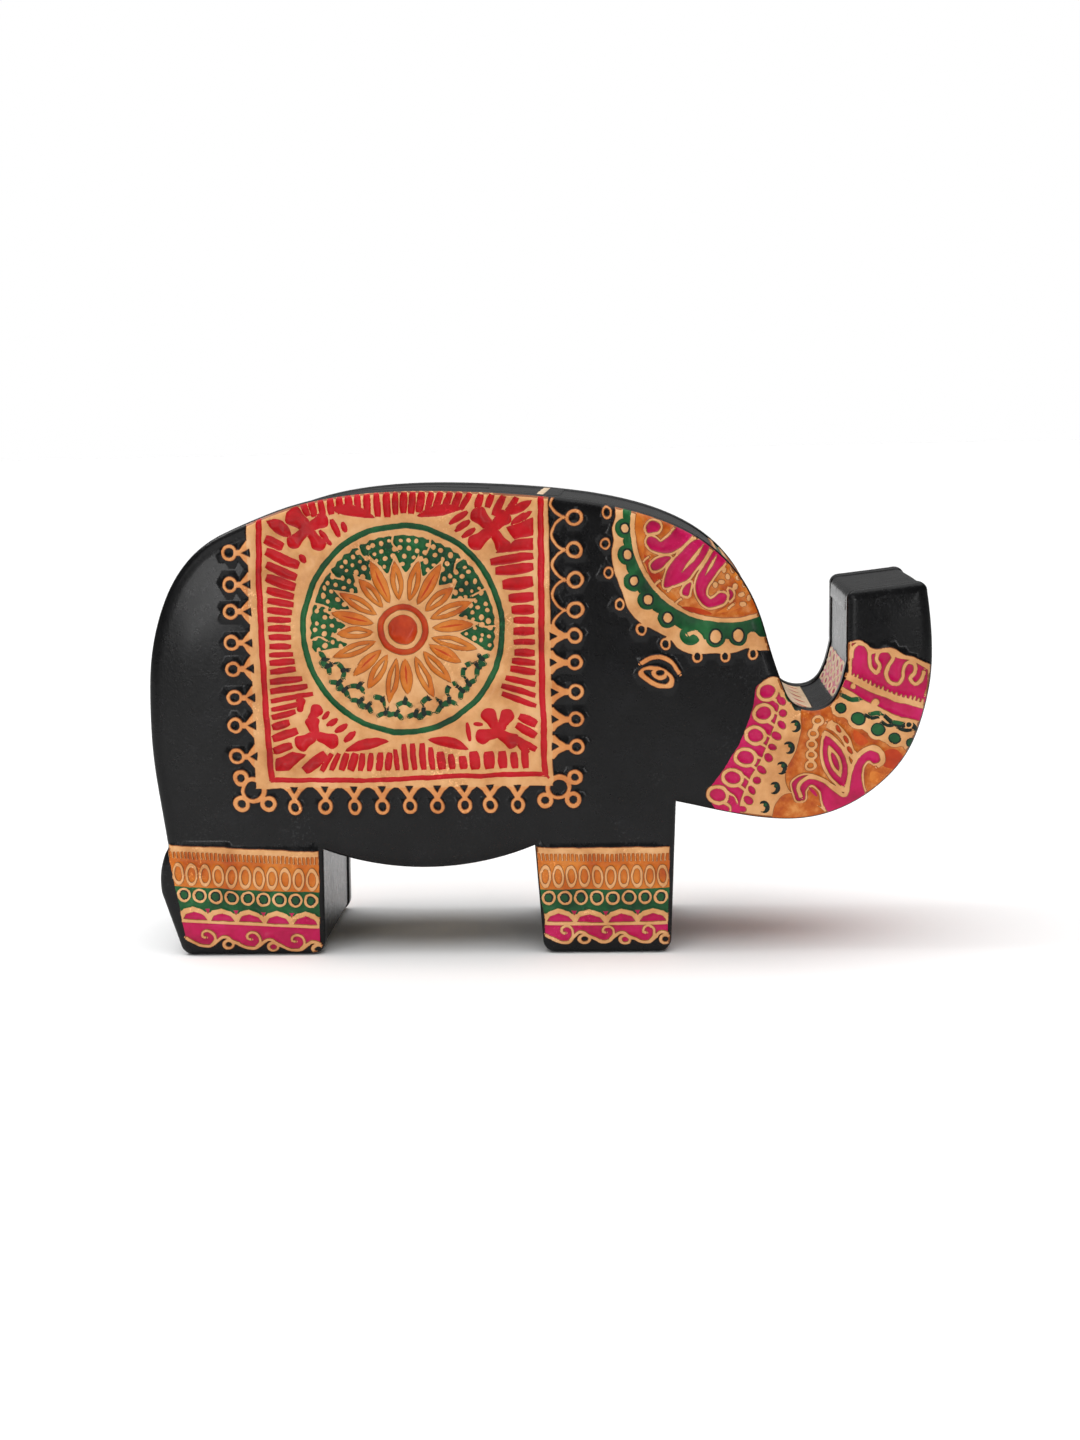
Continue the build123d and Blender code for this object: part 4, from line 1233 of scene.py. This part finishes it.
def trunk_bands(d, at):
    """Bands across the underside of the trunk, which carry on from those of the sides."""
    feather_start, feather_end = at(41.6, 35.7), at(50.0, 34.0)
    cross_band(d, feather_start, feather_end, MAGENTA)
    lobes(d, feather_start + 1.0, TAN, MAGENTA, 8, 2.6, 2.4)
    lobes(d, feather_start + 4.6, TAN, MAGENTA, 8, 2.0, 1.8, 2.5)
    cross_band(d, feather_end - 0.9, at(57.4, 33.1), TAN)
    lobes(d, (feather_end + at(57.4, 33.1)) / 2, INK, TAN, 8, 1.5, 1.5)
    cross_band(d, at(57.4, 33.1), at(69.6, 34.1), MOTTLE)
    cross_band(d, at(69.6, 34.1), at(80.0, 39.0), MAGENTA)
    for k in range(5):
        y = -RIM_Y + 4 + 8 * k
        s = (at(69.6, 34.1) + at(80.0, 39.0)) / 2
        d.leaf((s - 4.4, y), (s + 4.4, y), 5.0, TAN)
        d.leaf((s - 3.2, y), (s + 3.2, y), 3.0, MAGENTA)
        d.leaf((s - 1.8, y), (s + 1.8, y), 0.9, TAN)
    cross_band(d, at(80.0, 39.0), at(90.0, 50.6), MOTTLE)
    s = (at(80.0, 39.0) + at(90.0, 50.6)) / 2
    lobes(d, s - 3.4, TAN, AMBER, 8, 1.5, 1.7)
    lobes(d, s + 2.6, TAN, ORANGE, 8, 1.8, 1.9, 2.5)
    cross_band(d, at(90.0, 50.6), at(93.2, 58.4), TAN)
    lobes(d, at(91.2, 53.2), INK, GREEN, 8, 1.4, 1.6)
    lobes(d, at(92.4, 56.6), INK, TAN, 10, 1.0, 1.2)
    cross_band(d, at(93.2, 58.4), at(94.9, 68.6), MAGENTA, 10, 1.5)
    cross_band(d, at(93.8, 60.6), at(94.0, 61.8), TAN, 24, 0.8)
    lobes(d, at(94.8, 67.2), TAN, MAGENTA, 9, 1.9, 1.8)


def back_bands(d, at):
    """The cloth's borders, carried over the back."""
    front = at(2.5, 112.4)
    cross_band(d, front + 0.2, front + 1.9, CREAM)
    rear = at(-67.2, 108.0)
    cross_band(d, rear, rear + 0.9, CREAM)
    rump = at(-92.2, 83.8)
    cross_band(d, rump, rump + 0.7, TAN)


def slot_hole(at):
    """The coin slot."""
    s0, s1 = at(*SLOT_START), at(*SLOT_END)
    return straight([(s0, -SLOT_HALF), (s1, -SLOT_HALF), (s1, SLOT_HALF), (s0, SLOT_HALF)], step=1.0)


def lock_hole(at):
    """The hole for the lock's collar."""
    s = at(*LOCK_PLACE)
    a = np.linspace(0, 2 * math.pi, 64, endpoint=False)
    return np.stack([s + LOCK_HOLE_R * np.cos(a), LOCK_HOLE_R * np.sin(a)], 1)


def build_rim():
    """The rim's leather in five lengths, and the soles."""
    rim = RimLine()
    hind, front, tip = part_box("hind_sole"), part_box("front_sole"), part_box("trunk_tip_leather")
    hind_rear, hind_front = [(corner[0] / MM, SOLE_TOP_Z) for corner in hind]
    front_rear, front_front = [(corner[0] / MM, SOLE_TOP_Z) for corner in front]
    tip_in, tip_out = [(corner[0] / MM, tip[0][2] / MM) for corner in tip]
    seam = (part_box("back_leather")[1][0] / MM, BACK_SEAM_Z)
    rim_strip(rim, "belly_strip", "belly_leather", hind_front, front_rear, holes=[lock_hole])
    rim_strip(rim, "chest_strip", "chest_leather", front_front, tip_out, trunk_bands)
    rim_strip(rim, "trunk_tip_strip", "trunk_tip_leather", tip_out, tip_in, lap_start=LAP, lap_end=0.6)
    rim_strip(rim, "head_strip", "head_leather", tip_in, seam, head_bands)
    rim_strip(rim, "back_strip", "back_leather", seam, hind_rear, back_bands, [slot_hole], lap_start=LAP)
    for name, node in (("hind_sole_leather", "hind_sole"), ("front_sole_leather", "front_sole")):
        build_sole(name, node)


def build_sole(name, node):
    """A flat sole whose edges turn up a little."""
    low, high = np.array(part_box(node)) / MM
    xs = np.concatenate([[low[0], low[0] + 0.25, low[0] + 0.8], np.linspace(low[0] + 1.6, high[0] - 1.6, 24),
                         [high[0] - 0.8, high[0] - 0.25, high[0]]])
    ys = np.concatenate([[low[1], low[1] + 0.25, low[1] + 0.8], np.linspace(low[1] + 1.6, high[1] - 1.6, 30),
                         [high[1] - 0.8, high[1] - 0.25, high[1]]])
    coords, faces = [], []
    for y in ys:
        for x in xs:
            edge = min(x - low[0], high[0] - x, y - low[1], high[1] - y)
            lift = 0.40 * math.exp(-edge / 0.35) + 0.04 * (1 + noise.noise(Vector((x * 0.3, y * 0.3, 2.2))))
            coords.append((x, y, lift))
    wide = len(xs)
    for j in range(len(ys) - 1):
        for i in range(wide - 1):
            a = j * wide + i
            faces.append((a, a + wide, a + wide + 1, a + 1))
    piece = make_object(name, np.array(coords) * MM, faces, [BLACK] * len(faces), "box")
    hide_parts(node)


# ---------------------------------------------------------------- card, foam and lock

def card_material():
    """Grey-brown millboard."""
    material, tree, base = shader("millboard")
    coords = tree.nodes.new("ShaderNodeTexCoord")
    fibre = noise_node(tree, coords, 900.0, 5.0, 0.7)
    browns = [(0.3, srgb(128, 108, 82)), (0.6, srgb(158, 136, 104)), (0.8, srgb(176, 156, 124))]
    colour = ramp(tree, fibre.outputs["Fac"], browns)
    link(tree, colour, "Color", base, "Base Color")
    bump = bump_node(tree, fibre, "Fac", 0.4, 0.0001)
    link(tree, bump, "Normal", base, "Normal")
    base.inputs["Roughness"].default_value = 0.95
    return material


def foam_material():
    """Pale open-celled foam."""
    material, tree, base = shader("foam")
    coords = tree.nodes.new("ShaderNodeTexCoord")
    cells = tree.nodes.new("ShaderNodeTexVoronoi")
    cells.inputs["Scale"].default_value = 2200.0
    link(tree, coords, "Object", cells, "Vector")
    colour = ramp(tree, cells.outputs["Distance"], [(0.0, srgb(206, 186, 128)), (0.7, srgb(236, 222, 174))])
    link(tree, colour, "Color", base, "Base Color")
    bump = bump_node(tree, cells, "Distance", 0.6, 0.0002)
    link(tree, bump, "Normal", base, "Normal")
    base.inputs["Roughness"].default_value = 0.95
    return material


def metal(name, dull, bright, roughness, turned=False):
    """Worn metal. dull and bright are the colours that its tarnish clouds between."""
    material, tree, base = shader(name)
    coords = tree.nodes.new("ShaderNodeTexCoord")
    cloud = noise_node(tree, coords, 60.0, 6.0, 0.65)
    colour = ramp(tree, cloud.outputs["Fac"], [(0.34, dull), (0.62, bright)])
    link(tree, colour, "Color", base, "Base Color")
    roughness_between(tree, cloud, base, roughness + 0.16, roughness - 0.08)
    base.inputs["Metallic"].default_value = 1.0
    scratches = noise_node(tree, coords, 2600.0, 3.0, 0.7)
    bump = bump_node(tree, scratches, "Fac", 0.25, 0.00003)
    if turned:
        rings = tree.nodes.new("ShaderNodeTexWave")
        rings.wave_type = "RINGS"
        rings.rings_direction = "Z"
        rings.inputs["Scale"].default_value = 900.0
        rings.inputs["Distortion"].default_value = 1.5
        shift = tree.nodes.new("ShaderNodeMapping")
        shift.inputs["Location"].default_value = (-LATCH_AXIS[0], -LATCH_AXIS[1], 0)
        link(tree, coords, "Object", shift, "Vector")
        link(tree, shift, "Vector", rings, "Vector")
        grooves = bump_node(tree, rings, "Fac", 0.2, 0.00003)
        link(tree, grooves, "Normal", bump, "Normal")
    link(tree, bump, "Normal", base, "Normal")
    return material


def latch_axis():
    """Where the latch turns: the middle of its barrel."""
    low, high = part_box("lock_barrel")
    return ((low[0] + high[0]) / 2, (low[1] + high[1]) / 2)


LATCH_AXIS = latch_axis()


def dress_cad_nodes():
    """Materials for the CAD nodes that stay."""
    brass = metal("pressed_brass", srgb(128, 100, 58), srgb(196, 162, 98), 0.34)
    steel = metal("zinc_plate", srgb(120, 122, 124), srgb(178, 180, 182), 0.38)
    turned = metal("turned_brass", srgb(150, 120, 66), srgb(214, 180, 112), 0.26, turned=True)
    by_slot = {"card": card_material(), "padding": foam_material(), "lock_brass": brass, "lock_steel": steel,
               "lock_barrel": turned, "leather": LEATHERS[BLACK]}
    for row in frame["record"]["subparts"]:
        node = frame["nodes"][row["node"]]
        for place in node.material_slots:
            place.material = by_slot[row["material_slot"]]


build_sides()
build_rim()
dress_cad_nodes()


# ---------------------------------------------------------------- camera, light and floor

CAMERA_PLACE = (25.83, -519.12, 133.60)      # in millimetres
CAMERA_YAW, CAMERA_PITCH, CAMERA_ROLL = -2.926, -8.645, -1.166   # in degrees
CAMERA_LENS = 51.45
FLOOR_REACH, FLOOR_FRONT, FLOOR_GAP = 6.0, -0.46, 0.0002


def add_camera():
    """The photograph's camera: its place, and its turn to the right, upwards and about its own axis."""
    yaw, pitch, roll = (math.radians(a) for a in (CAMERA_YAW, CAMERA_PITCH, CAMERA_ROLL))
    look = Vector((math.sin(yaw) * math.cos(pitch), math.cos(yaw) * math.cos(pitch), math.sin(pitch)))
    level = look.cross(Vector((0, 0, 1))).normalized()
    head = level.cross(look)
    right = level * math.cos(roll) + head * math.sin(roll)
    up = head * math.cos(roll) - level * math.sin(roll)
    data = bpy.data.cameras.new("camera")
    data.lens = CAMERA_LENS
    data.clip_start = 0.01
    camera = bpy.data.objects.new("camera", data)
    turn = Matrix((right, up, -look)).transposed().to_4x4()
    camera.matrix_world = Matrix.Translation(Vector(CAMERA_PLACE) * MM) @ turn
    bpy.context.scene.collection.objects.link(camera)
    bpy.context.scene.camera = camera


def add_light(name, place, aim, size, power):
    """A white rectangular lamp that looks at a place."""
    data = bpy.data.lights.new(name, "AREA")
    data.shape = "RECTANGLE"
    data.size, data.size_y = size
    data.energy = power
    lamp = bpy.data.objects.new(name, data)
    lamp.location = place
    lamp.rotation_euler = (Vector(aim) - Vector(place)).to_track_quat("-Z", "Y").to_euler()
    bpy.context.scene.collection.objects.link(lamp)


def add_floor():
    """A pale floor. It stops in front of what the camera sees, so that the head reflects less of it."""
    mesh = bpy.data.meshes.new("floor")
    reach, front = FLOOR_REACH, FLOOR_FRONT
    corners = [(-reach, front, 0), (reach, front, 0), (reach, reach, 0), (-reach, reach, 0)]
    mesh.from_pydata(corners, [], [(0, 1, 2, 3)])
    material, _, base = shader("floor_white")
    base.inputs["Base Color"].default_value = (0.92, 0.92, 0.92, 1)
    base.inputs["Roughness"].default_value = 0.9
    mesh.materials.append(material)
    floor = bpy.data.objects.new("floor", mesh)
    floor.location.z = -FLOOR_GAP
    bpy.context.scene.collection.objects.link(floor)


def add_world():
    """Soft light that is brighter behind the object, and a background that is white to the eye."""
    world = bpy.data.worlds.new("studio")
    bpy.context.scene.world = world
    world.use_nodes = True
    tree = world.node_tree
    light = tree.nodes["Background"]
    light.inputs["Color"].default_value = (1, 1, 1, 1)
    coords = tree.nodes.new("ShaderNodeTexCoord")
    split = tree.nodes.new("ShaderNodeSeparateXYZ")
    link(tree, coords, "Generated", split, "Vector")
    spread = tree.nodes.new("ShaderNodeMapRange")
    spread.interpolation_type = "SMOOTHSTEP"
    spread.inputs["From Min"].default_value, spread.inputs["From Max"].default_value = -0.3, 0.8
    spread.inputs["To Min"].default_value, spread.inputs["To Max"].default_value = 0.16, 0.20
    link(tree, split, "Y", spread, "Value")
    link(tree, spread, "Result", light, "Strength")
    seen = tree.nodes.new("ShaderNodeBackground")
    seen.inputs["Color"].default_value = (1, 1, 1, 1)
    path = tree.nodes.new("ShaderNodeLightPath")
    mix = tree.nodes.new("ShaderNodeMixShader")
    link(tree, path, "Is Camera Ray", mix, "Fac")
    tree.links.new(light.outputs[0], mix.inputs[1])
    tree.links.new(seen.outputs[0], mix.inputs[2])
    tree.links.new(mix.outputs[0], tree.nodes["World Output"].inputs["Surface"])


def add_sun(power, angle):
    """A wide soft light from straight above."""
    data = bpy.data.lights.new("ceiling", "SUN")
    data.energy = power
    data.angle = math.radians(angle)
    lamp = bpy.data.objects.new("ceiling", data)
    lamp.location = (0, 0, 2)
    bpy.context.scene.collection.objects.link(lamp)


add_camera()
add_floor()
add_world()
add_sun(3.1, 80)
add_light("key", (-0.85, -1.5, 0.75), (-0.02, 0, 0.08), (0.9, 0.7), 3.6)
add_light("window", (-0.36, -1.10, 0.09), (-0.06, 0, 0.08), (0.20, 0.16), 1.3)
add_light("window_right", (0.42, -1.10, 0.14), (0.08, 0, 0.08), (0.10, 0.20), 1.0)
add_light("upper_left", (-0.75, 0.0, 1.0), (-0.02, 0, 0.10), (0.30, 0.30), 4.0)
bpy.context.scene.view_settings.view_transform = "Standard"
